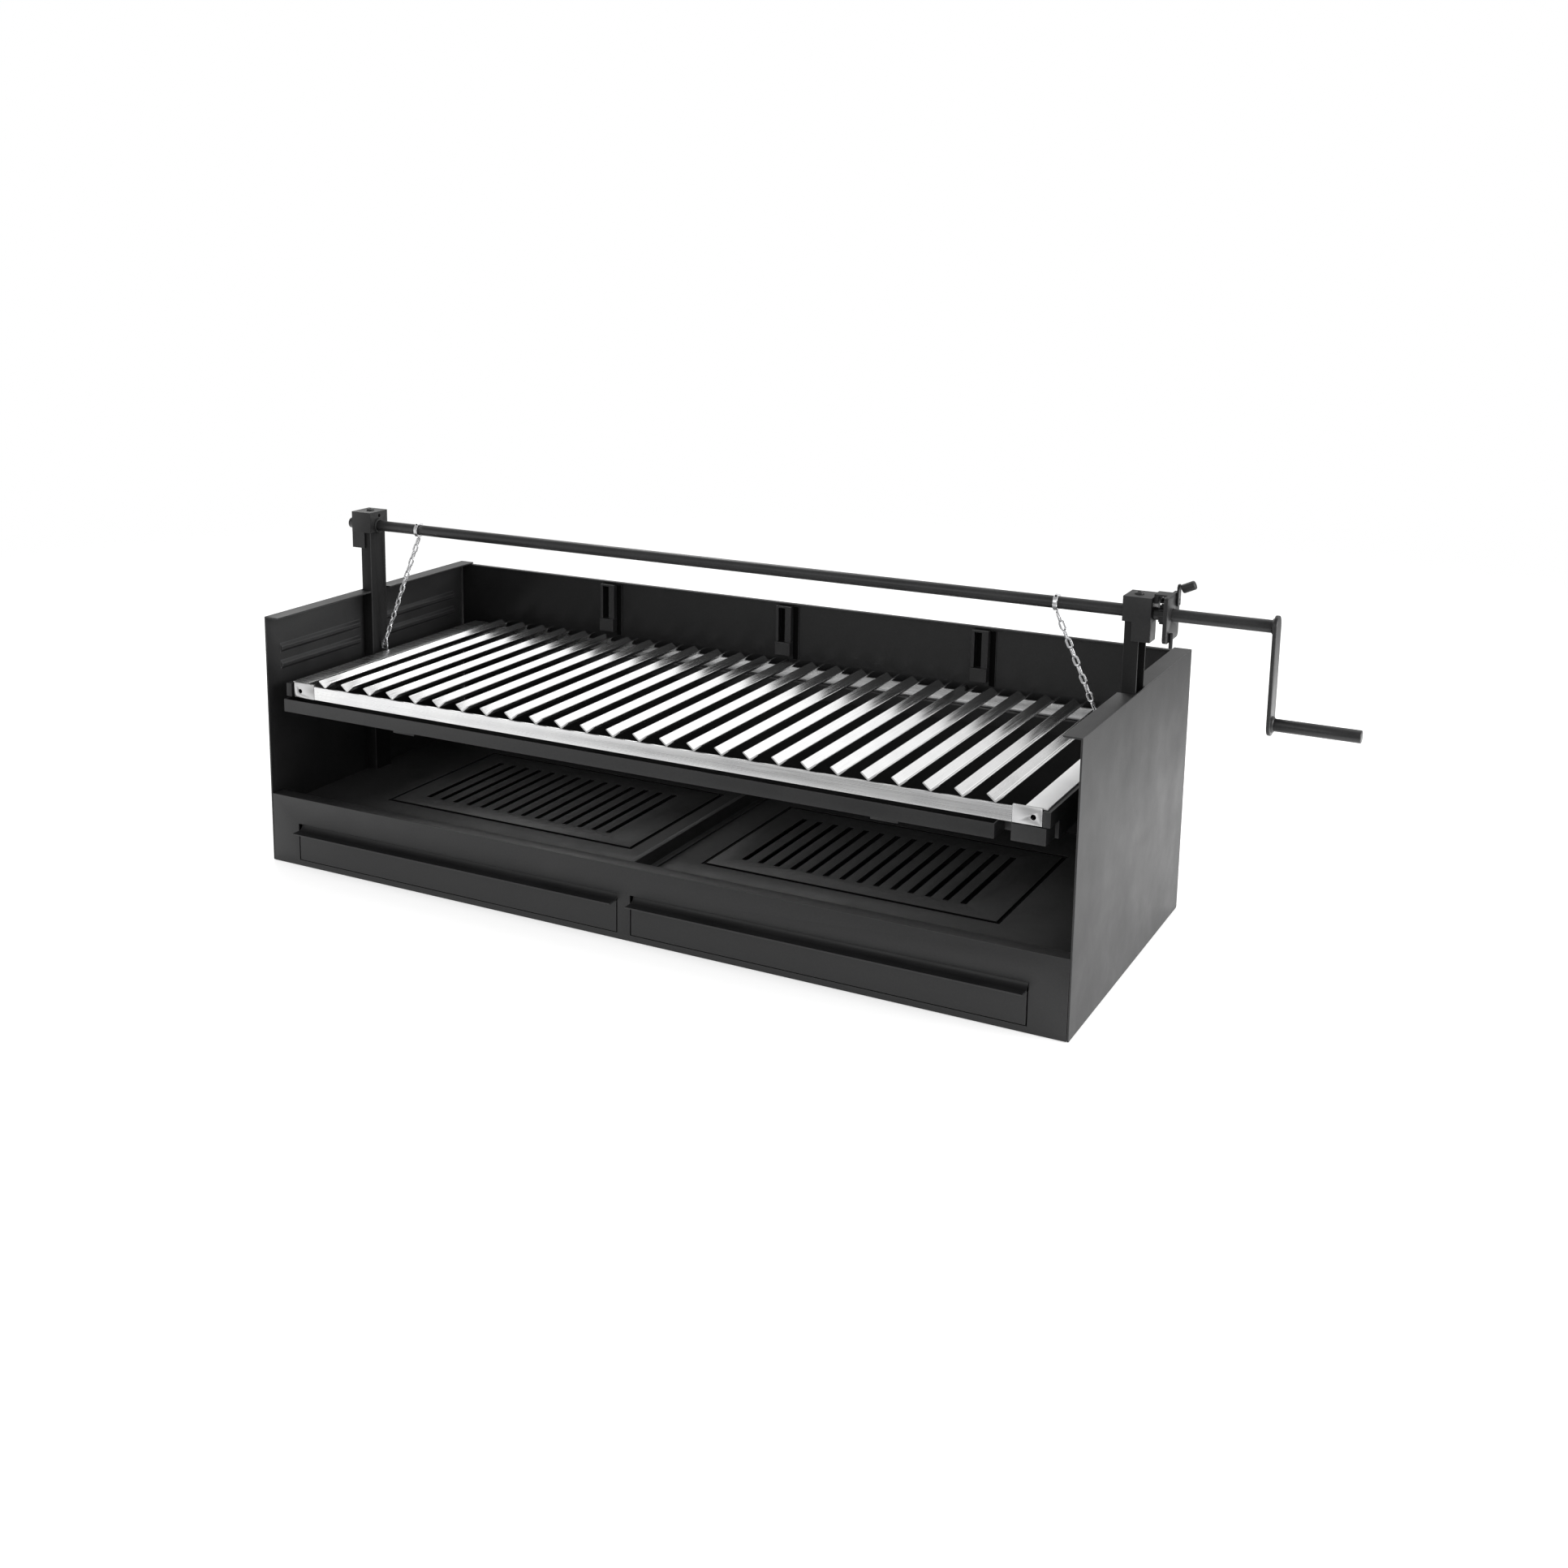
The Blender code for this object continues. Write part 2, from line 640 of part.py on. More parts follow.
def ratchet_bracket():
    """The plate outside the ratchet wheel, held on the right head by a strap over the wheel."""
    low = (SHAFT_Y - BRACKET_DEPTH / 2, BRACKET_BOTTOM)
    high = (SHAFT_Y + BRACKET_DEPTH / 2, BRACKET_TOP)
    outline = rounded_outline(low, high, BRACKET_CORNER)
    inner = BRACKET_OUTER - BRACKET_SHEET
    sheet = prism_form(outline, "X", inner, BRACKET_OUTER)
    plate = finish_object("ratchet_bracket", sheet, housing, GREY_STEEL)
    lip = BRACKET_INNER + BRACKET_SHEET
    strap = [
        (BRACKET_INNER, BRACKET_TOP - STRAP_LIP),
        (BRACKET_INNER, BRACKET_TOP),
        (inner + BRACKET_SHEET / 2, BRACKET_TOP),
        (inner + BRACKET_SHEET / 2, BRACKET_TOP - BRACKET_WEB),
        (lip, BRACKET_TOP - BRACKET_WEB),
        (lip, BRACKET_TOP - STRAP_LIP),
    ]
    fuse(plate, prism_form(strap, "Y", SHAFT_Y - STRAP_DEPTH / 2, SHAFT_Y + STRAP_DEPTH / 2))
    shaft_hole = rod_form(SHAFT_Y, SHAFT_Z, SHAFT_BORE, lip, BRACKET_OUTER + SHEET)
    pin_bore = PAWL_PIN_RADIUS + TOUCH
    pin_hole = rod_form(SHAFT_Y + PAWL_Y, SHAFT_Z + PAWL_Z, pin_bore, lip, BRACKET_OUTER + SHEET, 12)
    cut(plate, joined_form([shaft_hole, pin_hole]))


def ratchet_wheel():
    """The ratchet wheel: straight-backed teeth round the shaft."""
    outline = []
    step = 2 * math.pi / RATCHET_TEETH
    for k in range(RATCHET_TEETH):
        for radius, turn in ((RATCHET_TIP, 0.0), (RATCHET_TIP, TOOTH_CREST), (RATCHET_ROOT, TOOTH_FACE)):
            angle = step * (k + turn)
            outline.append((SHAFT_Y + radius * math.cos(angle), SHAFT_Z + radius * math.sin(angle)))
    middle = (BRACKET_INNER + BRACKET_OUTER) / 2
    start = middle - RATCHET_THICKNESS / 2
    end = middle + RATCHET_THICKNESS / 2
    wheel = prism_form(outline, "X", start, end)
    piece = finish_object("ratchet_wheel", wheel, winch, BLACK_STEEL)
    cut(piece, rod_form(SHAFT_Y, SHAFT_Z, SHAFT_RADIUS + TOUCH, start - SHEET, end + SHEET))


def pawl_outline(y, z):
    """The side view of the pawl: a round boss and an arm whose nose stops just over the wheel."""
    boss_steps = 8
    outline = []
    for k in range(boss_steps + 1):
        angle = math.radians(-80 + 170 * k / boss_steps)
        outline.append((y + PAWL_BOSS * math.cos(angle), z + PAWL_BOSS * math.sin(angle)))
    nose_y = SHAFT_Y - PAWL_REACH
    nose_z = SHAFT_Z + RATCHET_TIP + PAWL_TIP_CLEARANCE
    outline += [
        (nose_y + PAWL_ARM, nose_z + PAWL_ARM),
        (nose_y, nose_z + PAWL_NOSE),
        (nose_y, nose_z),
        (nose_y + PAWL_ARM, nose_z + PAWL_RELIEF),
    ]
    return outline


def pawl_and_lever():
    """The pawl over the wheel, its pin, the lever outside the bracket and the tilted knob."""
    y = SHAFT_Y + PAWL_Y
    z = SHAFT_Z + PAWL_Z
    start = BRACKET_INNER + BRACKET_SHEET + 2 * TOUCH
    end = BRACKET_OUTER - BRACKET_SHEET - 2 * TOUCH
    arm = finish_object("pawl", prism_form(pawl_outline(y, z), "X", start, end), pawl_axis, BLACK_STEEL)
    cut(arm, rod_form(y, z, PAWL_PIN_RADIUS + TOUCH, start - SHEET, end + SHEET, 12))
    lever_start = BRACKET_OUTER + 2 * TOUCH
    lever_end = lever_start + LEVER_SHEET
    pin = rod_form(y, z, PAWL_PIN_RADIUS, start, lever_end, 12)
    finish_object("pawl_pin", pin, pawl_axis, SHAFT_STEEL, smooth=True)
    half = KNOB_RADIUS
    top = z + LEVER_RISE + half
    lever_outline = [
        (y - half, z - half),
        (y + half, z - half),
        (y + half, top - half / 2),
        (y + half / 2, top),
        (y - half / 2, top),
        (y - half, top - half / 2),
    ]
    lever = prism_form(lever_outline, "X", lever_start, lever_end)
    plate = finish_object("pawl_lever", lever, pawl_axis, BLACK_STEEL)
    cut(plate, rod_form(y, z, PAWL_PIN_RADIUS + TOUCH, lever_start - SHEET, lever_end + SHEET, 12))
    knob = rod_form(0, 0, KNOB_RADIUS, 0, KNOB_LENGTH, 20)
    knob.transform(Matrix.Rotation(-KNOB_TILT, 4, "Y"))
    knob_x = lever_end + TOUCH + KNOB_RADIUS * math.sin(KNOB_TILT)
    knob.transform(Matrix.Translation((knob_x, y, z + LEVER_RISE)))
    finish_object("pawl_knob", knob, pawl_axis, BLACK_STEEL, smooth=True)


def shaft_and_crank():
    """The round shaft across the barbecue, the crank arm at its right end and the grip."""
    shaft_left = -(HEAD_OUTER + SHAFT_STUB)
    bar = rod_form(SHAFT_Y, SHAFT_Z, SHAFT_RADIUS, shaft_left, CRANK_INNER - TOUCH, 32)
    finish_object("shaft", bar, winch, SHAFT_STEEL, smooth=True)
    steps = 10
    outline = []
    for centre, first in ((SHAFT_Z, 0), (SHAFT_Z - CRANK_RADIUS, math.pi)):
        for k in range(steps + 1):
            angle = first + math.pi * k / steps
            y = SHAFT_Y + CRANK_HALF_WIDTH * math.cos(angle)
            outline.append((y, centre + CRANK_HALF_WIDTH * math.sin(angle)))
    arm = prism_form(outline, "X", CRANK_INNER, CRANK_INNER + CRANK_SHEET)
    finish_object("crank_arm", arm, winch, SHAFT_STEEL, smooth=True)
    start = CRANK_INNER + CRANK_SHEET + TOUCH
    grip = rod_form(SHAFT_Y, SHAFT_Z - CRANK_RADIUS, GRIP_RADIUS, start, start + GRIP_LENGTH, 28)
    finish_object("crank_grip", grip, winch, SHAFT_STEEL, smooth=True)


def link_form(centre, along, across, pitch):
    """One oval link of round wire about a centre, lying in the plane of two directions."""
    normal = along.cross(across)
    inner = pitch - LINK_OVERLAP
    half_straight = (inner + 2 * WIRE_RADIUS - LINK_WIDTH + 2 * WIRE_RADIUS) / 2
    bend = LINK_WIDTH / 2 - WIRE_RADIUS
    bend_steps = 5
    stations = []
    for end, first in ((1, 0), (-1, math.pi)):
        for k in range(bend_steps + 1):
            angle = first + math.pi * k / bend_steps
            outward = across * math.cos(angle) + along * math.sin(angle)
            stations.append((along * (end * half_straight) + outward * bend, outward))
    form = bmesh.new()
    sides = 8
    rings = []
    for place, outward in stations:
        ring = []
        for k in range(sides):
            angle = 2 * math.pi * k / sides
            offset = (outward * math.cos(angle) + normal * math.sin(angle)) * WIRE_RADIUS
            ring.append(form.verts.new(centre + place + offset))
        rings.append(ring)
    for k, ring in enumerate(rings):
        following = rings[(k + 1) % len(rings)]
        for j in range(sides):
            form.faces.new((ring[j], ring[(j + 1) % sides], following[(j + 1) % sides], following[j]))
    bmesh.ops.recalc_face_normals(form, faces=form.faces)
    return form


def chain_line(side):
    """The two ends of a chain: under the shaft's collar and just past the bar of its eye."""
    top = Vector((side * CHAIN_TOP_X + CHAIN_SHIFT, SHAFT_Y, SHAFT_Z - COLLAR_RADIUS - TOUCH))
    bar = Vector((side * EYE_X + FRAME_SHIFT, SHAFT_Y, EYE_Z))
    along = (bar - top).normalized()
    half = EYE_THICKNESS / 2
    hole = LINK_WIDTH / 2 - 2 * WIRE_RADIUS
    seat = half * (abs(along.x) + abs(along.z)) + TOUCH - math.sqrt(hole**2 - half**2)
    return top, bar + along * (seat + LINK_WIDTH / 2)


def chain(name, side):
    """A chain of oval links, each turned a quarter from the one before and seated in it."""
    top, foot = chain_line(side)
    along = (foot - top).normalized()
    across = Vector((0, 1, 0))
    pitch = ((foot - top).length - 4 * WIRE_RADIUS) / LINK_COUNT
    groups = ([], [])
    for k in range(LINK_COUNT):
        centre = top + along * (2 * WIRE_RADIUS + pitch * (k + 0.5))
        turned = across if k % 2 == 0 else along.cross(across)
        groups[k % 2].append(link_form(centre, along, turned, pitch))
    piece = finish_object(name, joined_form(groups[0]), housing, ZINC, smooth=True)
    fuse(piece, joined_form(groups[1]))


def collar(name, side):
    """The zinc ring on the shaft that its chain hangs from."""
    start = side * CHAIN_TOP_X + CHAIN_SHIFT - COLLAR_WIDTH / 2
    end = start + COLLAR_WIDTH
    band = rod_form(SHAFT_Y, SHAFT_Z, COLLAR_RADIUS, start, end)
    ring = finish_object(name, band, winch, ZINC, smooth=True)
    cut(ring, rod_form(SHAFT_Y, SHAFT_Z, SHAFT_RADIUS + TOUCH, start - SHEET, end + SHEET))


def frame_arm(side):
    """One arm of the lifting frame, stepped up over the grease tray at its front end."""
    outline = [
        (FRONT + GRILL_FRONT, GRILL_REST),
        (FRONT + GRILL_FRONT, ARM_TOP),
        (BACK - GRILL_BACK, ARM_TOP),
        (BACK - GRILL_BACK, CROSSBAR_BOTTOM),
        (TRAY_BACK, CROSSBAR_BOTTOM),
        (TRAY_BACK, GRILL_REST),
    ]
    start, end = mirrored(side, ARM_OUTER - ARM_WIDTH, ARM_OUTER)
    return prism_form(outline, "X", start + FRAME_SHIFT, end + FRAME_SHIFT)


def tray_tongue(x):
    """A folded tongue on the front crossbar that the grease tray rests on."""
    floor = TRAY_TOP - TRAY_HEIGHT - TOUCH
    outline = [
        (FRONT + GRILL_FRONT, floor - TONGUE_SHEET),
        (FRONT + GRILL_FRONT, floor),
        (TRAY_BACK, floor),
        (TRAY_BACK, GRILL_REST - TONGUE_SHEET),
        (TRAY_BACK + TONGUE_SHEET, GRILL_REST - TONGUE_SHEET),
        (TRAY_BACK + TONGUE_SHEET, floor - TONGUE_SHEET),
    ]
    return prism_form(outline, "X", x - TONGUE_WIDTH / 2, x + TONGUE_WIDTH / 2)


def lifting_frame():
    """The black frame that the chains lift: two arms, two crossbars, tongues for the tray and a lug."""
    frame = finish_object("lifting_frame", frame_arm(-1), lift, BLACK_STEEL)
    welded = [frame_arm(1)]
    reach = ARM_OUTER - ARM_WIDTH / 2
    for start in (TRAY_BACK, BACK - GRILL_BACK - CROSSBAR_DEPTH):
        low = (FRAME_SHIFT - reach, start, CROSSBAR_BOTTOM)
        welded.append(block_form(low, (FRAME_SHIFT + reach, start + CROSSBAR_DEPTH, GRILL_REST)))
    welded += [tray_tongue(x) for x in (-TONGUE_X, TONGUE_X)]
    lug_low = (FRAME_SHIFT + reach - LUG_WIDTH, FRONT + GRILL_FRONT, CROSSBAR_BOTTOM)
    lug_high = (FRAME_SHIFT + reach, TRAY_BACK + CROSSBAR_DEPTH / 2, GRILL_REST - SHEET / 2)
    welded.append(block_form(lug_low, lug_high))
    fuse(frame, joined_form(welded))


def chain_eye(name, side):
    """The flat ring welded on an arm of the lifting frame that the last link of a chain is hooked through."""
    left = side * EYE_X + FRAME_SHIFT - EYE_WIDTH / 2
    right = left + EYE_WIDTH
    start = SHAFT_Y - EYE_THICKNESS / 2
    end = start + EYE_THICKNESS
    low = ARM_TOP + TOUCH
    high = EYE_Z + EYE_THICKNESS / 2
    ring = block(name, (left, start, low), (right, end, high), lift, ZINC)
    hole_low = (left + EYE_SHEET, start - SHEET, low + EYE_SHEET)
    cut(ring, block_form(hole_low, (right - EYE_SHEET, end + SHEET, high - EYE_THICKNESS)))


def grease_tray():
    """The long grease tray under the front ends of the bars."""
    low = (TRAY_LEFT, FRONT + TRAY_FRONT, TRAY_TOP - TRAY_HEIGHT)
    high = (TRAY_LEFT + TRAY_LENGTH, low[1] + TRAY_DEPTH, TRAY_TOP)
    tray = block("grease_tray", low, high, tray_slide, BLACK_STEEL)
    inner_low = [value + TRAY_SHEET for value in low]
    inner_high = (high[0] - TRAY_SHEET, high[1] - TRAY_SHEET, high[2] + TRAY_SHEET)
    cut(tray, block_form(inner_low, inner_high))


def cross_rails():
    """The front and rear flats under the ends of the bars."""
    bottom = GRILL_REST + TOUCH
    half = BAR_PITCH * BAR_COUNT / 2 + TOUCH
    low = (-half, FRONT + GRILL_FRONT, bottom)
    block("front_rail", low, (half, low[1] + RAIL_SHEET, RAIL_TOP), lift, STAINLESS)
    half = RAIL_INNER - TOUCH
    back = BACK - GRILL_BACK - TOUCH
    block("rear_rail", (-half, back - RAIL_SHEET, bottom), (half, back, RAIL_TOP), lift, STAINLESS)


def side_rail(name, side):
    """A side angle of the grill, whose flange points outwards."""
    bottom = GRILL_REST + TOUCH
    outline = [
        (side * RAIL_INNER, bottom),
        (side * RAIL_INNER, RAIL_TOP + SHEET),
        (side * (RAIL_INNER + RAIL_FLANGE), RAIL_TOP + SHEET),
        (side * (RAIL_INNER + RAIL_FLANGE), RAIL_TOP),
        (side * (RAIL_INNER + SHEET), RAIL_TOP),
        (side * (RAIL_INNER + SHEET), bottom),
    ]
    start = FRONT + GRILL_FRONT + RAIL_SHEET + TOUCH
    finish_object(name, prism_form(outline, "Y", start, BACK - GRILL_BACK - TOUCH), lift, STAINLESS)


def end_plate(name, side):
    """The plate that closes the front end of a side rail, with a hole near its outer end."""
    front = FRONT + GRILL_FRONT
    bottom = GRILL_REST + TOUCH
    inner = BAR_PITCH * BAR_COUNT / 2 + 2 * TOUCH
    outer = RAIL_INNER + RAIL_FLANGE - END_INSET
    left, right = mirrored(side, inner, outer)
    high = (right, front + RAIL_SHEET, RAIL_TOP + SHEET)
    plate = block(name, (left, front, bottom), high, lift, STAINLESS)
    hole = rod_form(0, 0, END_HOLE_RADIUS, -SHEET, RAIL_SHEET + SHEET, 16)
    hole.transform(Matrix.Rotation(math.radians(90), 4, "Z"))
    hole.transform(Matrix.Translation((side * (outer - END_HOLE_MARGIN), front, (bottom + RAIL_TOP) / 2)))
    cut(plate, hole)


def bar_outline(x, bottom):
    """The section of one bar: an open V of folded sheet."""
    half = BAR_WIDTH / 2
    top = bottom + BAR_DEPTH
    slope = math.hypot(half, BAR_DEPTH)
    wall_x = BAR_SHEET * slope / BAR_DEPTH
    wall_z = BAR_SHEET * slope / half
    return [
        (x - half, top),
        (x, bottom),
        (x + half, top),
        (x + half - wall_x, top),
        (x, bottom + wall_z),
        (x - half + wall_x, top),
    ]


def grill_bars():
    """The V-shaped bars, welded across two thin strips under their ends."""
    bottom = RAIL_TOP + TOUCH
    front = FRONT + GRILL_FRONT
    back = BACK - GRILL_BACK - TOUCH
    bars = []
    for k in range(BAR_COUNT):
        x = (k - (BAR_COUNT - 1) / 2) * BAR_PITCH
        bars.append(prism_form(bar_outline(x, bottom), "Y", front, back))
    grid = finish_object("grill_bars", joined_form(bars), lift, STAINLESS)
    half = BAR_PITCH * (BAR_COUNT - 1) / 2 + BAR_WIDTH / 4
    strips = []
    for start in (front + RAIL_SHEET + 2 * TOUCH, back - STRIP_INSET - RAIL_SHEET):
        low = (-half, start, bottom - STRIP_BELOW)
        strips.append(block_form(low, (half, start + STRIP_WIDTH, bottom + STRIP_ABOVE)))
    fuse(grid, joined_form(strips))


side_wall("left_wall", -1)
side_wall("right_wall", 1)
back_wall()
front_panel()
base_and_divider()
hearth_support("hearth_support_left", -1)
hearth_support("hearth_support_right", 1)
hearth_pan()
hearth_plate()
grate("grate_left", -1)
grate("grate_right", 1)

outer_edge = DRAWER_INNER_X + DRAWER_OPENING + DRAWER_PLAY
inner_edge = DRAWER_INNER_X - DRAWER_PLAY
drawer_runner("runner_left_outer", -outer_edge, 1)
drawer_runner("runner_left_inner", -inner_edge, -1)
drawer_runner("runner_right_inner", inner_edge, 1)
drawer_runner("runner_right_outer", outer_edge, -1)
ash_drawer("drawer_left", -1)
ash_drawer("drawer_right", 1)

hanger("hanger_left", -HANGER_SPACING)
hanger("hanger_middle", 0)
hanger("hanger_right", HANGER_SPACING)

for end_name, end_side in (("left", -1), ("right", 1)):
    post(f"post_{end_name}", end_side)
    post_head(f"head_{end_name}", end_side)
    bush(f"bush_{end_name}", end_side)
    collar(f"collar_{end_name}", end_side)
    chain(f"chain_{end_name}", end_side)
    chain_eye(f"chain_eye_{end_name}", end_side)
    side_rail(f"side_rail_{end_name}", end_side)
    end_plate(f"end_plate_{end_name}", end_side)

ratchet_bracket()
ratchet_wheel()
pawl_and_lever()
shaft_and_crank()
lifting_frame()
grease_tray()
cross_rails()
grill_bars()
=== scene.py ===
import json
import math

import bmesh
import bpy
from mathutils import Matrix, Vector


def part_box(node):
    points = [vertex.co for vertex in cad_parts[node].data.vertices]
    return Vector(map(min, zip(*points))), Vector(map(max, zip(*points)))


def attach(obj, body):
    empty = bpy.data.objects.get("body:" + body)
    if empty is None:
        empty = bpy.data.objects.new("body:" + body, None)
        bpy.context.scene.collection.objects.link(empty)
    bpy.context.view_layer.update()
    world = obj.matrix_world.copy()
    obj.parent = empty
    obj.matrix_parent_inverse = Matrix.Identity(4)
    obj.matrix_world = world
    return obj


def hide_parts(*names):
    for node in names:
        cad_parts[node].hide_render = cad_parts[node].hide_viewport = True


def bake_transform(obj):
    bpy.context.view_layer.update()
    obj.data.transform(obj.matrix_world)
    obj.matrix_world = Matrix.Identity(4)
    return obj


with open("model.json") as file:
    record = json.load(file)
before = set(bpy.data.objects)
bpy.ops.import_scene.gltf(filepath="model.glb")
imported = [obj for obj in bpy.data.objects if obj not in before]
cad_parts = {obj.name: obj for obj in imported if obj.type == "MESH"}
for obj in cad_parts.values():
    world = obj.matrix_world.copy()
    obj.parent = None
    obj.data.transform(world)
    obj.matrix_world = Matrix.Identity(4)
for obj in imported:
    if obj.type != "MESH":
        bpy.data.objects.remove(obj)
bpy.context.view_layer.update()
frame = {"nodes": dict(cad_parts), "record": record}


# The photographer's camera. It stands to the right of the front, a little above the shaft, and its
# shift puts the barbecue where the photograph has it.
camera_azimuth = math.radians(29.653)
camera_elevation = math.radians(11.277)
camera_roll = math.radians(0.191)
lens_back = Vector((
    math.sin(camera_azimuth) * math.cos(camera_elevation),
    -math.cos(camera_azimuth) * math.cos(camera_elevation),
    math.sin(camera_elevation),
))
level_right = Vector((math.cos(camera_azimuth), math.sin(camera_azimuth), 0))
level_up = lens_back.cross(level_right)
lens_right = level_right * math.cos(camera_roll) + level_up * math.sin(camera_roll)
lens_up = level_up * math.cos(camera_roll) - level_right * math.sin(camera_roll)
camera = bpy.data.objects.new("camera", bpy.data.cameras.new("camera"))
bpy.context.scene.collection.objects.link(camera)
camera.matrix_world = Matrix.Translation((0.98226, -1.83305, 0.80060)) @ Matrix(
    (lens_right, lens_up, lens_back)
).transposed().to_4x4()
camera.data.sensor_width = 36
camera.data.lens = 42.46
camera.data.shift_x = 0.07493
camera.data.shift_y = -0.14074
camera.data.clip_start = 0.05
camera.data.clip_end = 60
bpy.context.scene.camera = camera
bpy.context.scene.view_settings.view_transform = "Standard"


# The studio: a white paper floor that fades into a white room, soft lamps behind the left end and in
# front, and a wide pale panel far on the right. Polished steel sees a grey room with a few soft bright
# parts, as the flats and screens round a photographer's table are.
def add(tree, kind, inputs=None, **settings):
    """Add a node with its settings and inputs, which are plain values or other nodes' outputs."""
    made = tree.nodes.new(kind)
    for name, value in settings.items():
        setattr(made, name, value)
    for name, value in (inputs or {}).items():
        if isinstance(value, bpy.types.NodeSocket):
            tree.links.new(value, made.inputs[name])
        else:
            made.inputs[name].default_value = value
    return made


studio_world = bpy.data.worlds.new("studio")
bpy.context.scene.world = studio_world
studio_world.use_nodes = True
world_tree = studio_world.node_tree
world_tree.nodes.clear()
ray_kind = add(world_tree, "ShaderNodeLightPath")
seen_ray = add(world_tree, "ShaderNodeMath", {0: ray_kind.outputs["Is Camera Ray"],
               1: ray_kind.outputs["Is Transmission Ray"]}, operation="MAXIMUM")
room_light = add(world_tree, "ShaderNodeBackground", {"Color": (1, 1, 1, 1), "Strength": 0.55})


def glow(direction, start, end, strength):
    """How much a soft bright part of the room adds in its direction."""
    way = add(world_tree, "ShaderNodeVectorMath", {0: room_way, 1: Vector(direction).normalized()},
              operation="DOT_PRODUCT")
    return add(world_tree, "ShaderNodeMapRange", {"Value": way.outputs["Value"], "From Min": start,
               "From Max": end, "To Max": strength}, interpolation_type="SMOOTHSTEP").outputs[0]


def total(first, second):
    """Add two strengths."""
    return add(world_tree, "ShaderNodeMath", {0: first, 1: second}, operation="ADD").outputs[0]


room_way = add(world_tree, "ShaderNodeTexCoord").outputs["Generated"]
back_glow = glow((0.1, 1.0, 0.1), -0.1, 0.5, 0.20)
above_glow = glow((0.14, 0.70, 0.70), 0.88, 0.975, 0.80)
left_glow = glow((-0.84, -0.54, -0.1), 0.90, 0.98, 0.80)
grey_room = 0.36
gloss_level = total(total(back_glow, above_glow), total(left_glow, grey_room))
room_gloss = add(world_tree, "ShaderNodeBackground", {"Color": (1, 1, 1, 1), "Strength": gloss_level})
white_room = add(world_tree, "ShaderNodeBackground", {"Color": (1, 1, 1, 1), "Strength": 1.0})
glossy_mix = add(world_tree, "ShaderNodeMixShader", {0: ray_kind.outputs["Is Glossy Ray"],
                 1: room_light.outputs[0], 2: room_gloss.outputs[0]})
seen_mix = add(world_tree, "ShaderNodeMixShader", {0: seen_ray.outputs[0], 1: glossy_mix.outputs[0],
               2: white_room.outputs[0]})
add(world_tree, "ShaderNodeOutputWorld", {"Surface": seen_mix.outputs[0]})


def lamp(name, place, target, width, height, power, colour):
    """Hang a soft rectangular lamp that faces a point."""
    light = bpy.data.lights.new(name, "AREA")
    light.shape = "RECTANGLE"
    light.size = width
    light.size_y = height
    light.energy = power
    light.color = colour
    hung = bpy.data.objects.new(name, light)
    bpy.context.scene.collection.objects.link(hung)
    hung.location = place
    hung.visible_camera = False
    hung.rotation_euler = (Vector(target) - Vector(place)).to_track_quat("-Z", "Y").to_euler()


lamp("back_left_lamp", (-1.7, 1.9, 2.7), (0, 0, 0.15), 1.6, 1.6, 36, (1.0, 1.0, 0.99))
lamp("right_panel", (5.0, 0.6, 1.6), (0.5, 0, 0.2), 3.0, 2.0, 150, (1.0, 1.0, 1.0))
lamp("front_panel_lamp", (-0.4, -3.0, 1.6), (0, 0, 0.15), 2.4, 1.4, 14, (1.0, 1.0, 1.0))

floor_radius = 4.0
floor_drop = 0.0006
floor_mesh = bpy.data.meshes.new("paper_floor")
floor_shape = bmesh.new()
bmesh.ops.create_circle(floor_shape, cap_ends=True, segments=96, radius=floor_radius)
bmesh.ops.translate(floor_shape, verts=floor_shape.verts, vec=(0, 0, -floor_drop))
floor_shape.to_mesh(floor_mesh)
floor_shape.free()
paper_floor = bpy.data.objects.new("paper_floor", floor_mesh)
bpy.context.scene.collection.objects.link(paper_floor)
paper = bpy.data.materials.new("paper")
paper.use_nodes = True
paper_tree = paper.node_tree
paper_shader = paper_tree.nodes["Principled BSDF"]
paper_shader.inputs["Roughness"].default_value = 0.9
paper_shader.inputs["Specular IOR Level"].default_value = 0.1
floor_place = add(paper_tree, "ShaderNodeTexCoord")
floor_distance = add(paper_tree, "ShaderNodeVectorMath", {0: floor_place.outputs["Object"]},
                     operation="LENGTH")
floor_fade = add(paper_tree, "ShaderNodeMapRange", {"Value": floor_distance.outputs["Value"],
                 "From Min": 0.9, "From Max": 2.6, "To Min": 1.0, "To Max": 0.0},
                 interpolation_type="SMOOTHSTEP")
paper_grain = add(paper_tree, "ShaderNodeTexNoise", {"Vector": floor_place.outputs["Object"],
                  "Scale": 180.0, "Detail": 3.0})
paper_tone = add(paper_tree, "ShaderNodeMapRange", {"Value": paper_grain.outputs["Fac"], "To Min": 0.93,
                 "To Max": 0.95})
paper_tree.links.new(paper_tone.outputs[0], paper_shader.inputs["Base Color"])
# The floor glows evenly for camera rays so that it shows white. For glossy rays it glows, more brightly
# towards the right, and is see-through in front of the barbecue: painted reflections.
paper_ray = add(paper_tree, "ShaderNodeLightPath")
paper_spot = add(paper_tree, "ShaderNodeSeparateXYZ", {0: floor_place.outputs["Object"]})
front_fade = add(paper_tree, "ShaderNodeMapRange", {"Value": paper_spot.outputs["Y"], "From Min": -0.86,
                 "From Max": -0.42}, interpolation_type="SMOOTHSTEP")
right_reflection_glow = add(paper_tree, "ShaderNodeMapRange", {"Value": paper_spot.outputs["X"], "From Min": 0.45,
                 "From Max": 0.8, "To Min": 0.45, "To Max": 1.08}, interpolation_type="SMOOTHSTEP")
seen_glow = add(paper_tree, "ShaderNodeMath", {0: paper_ray.outputs["Is Camera Ray"], 1: 0.55},
                operation="MULTIPLY")
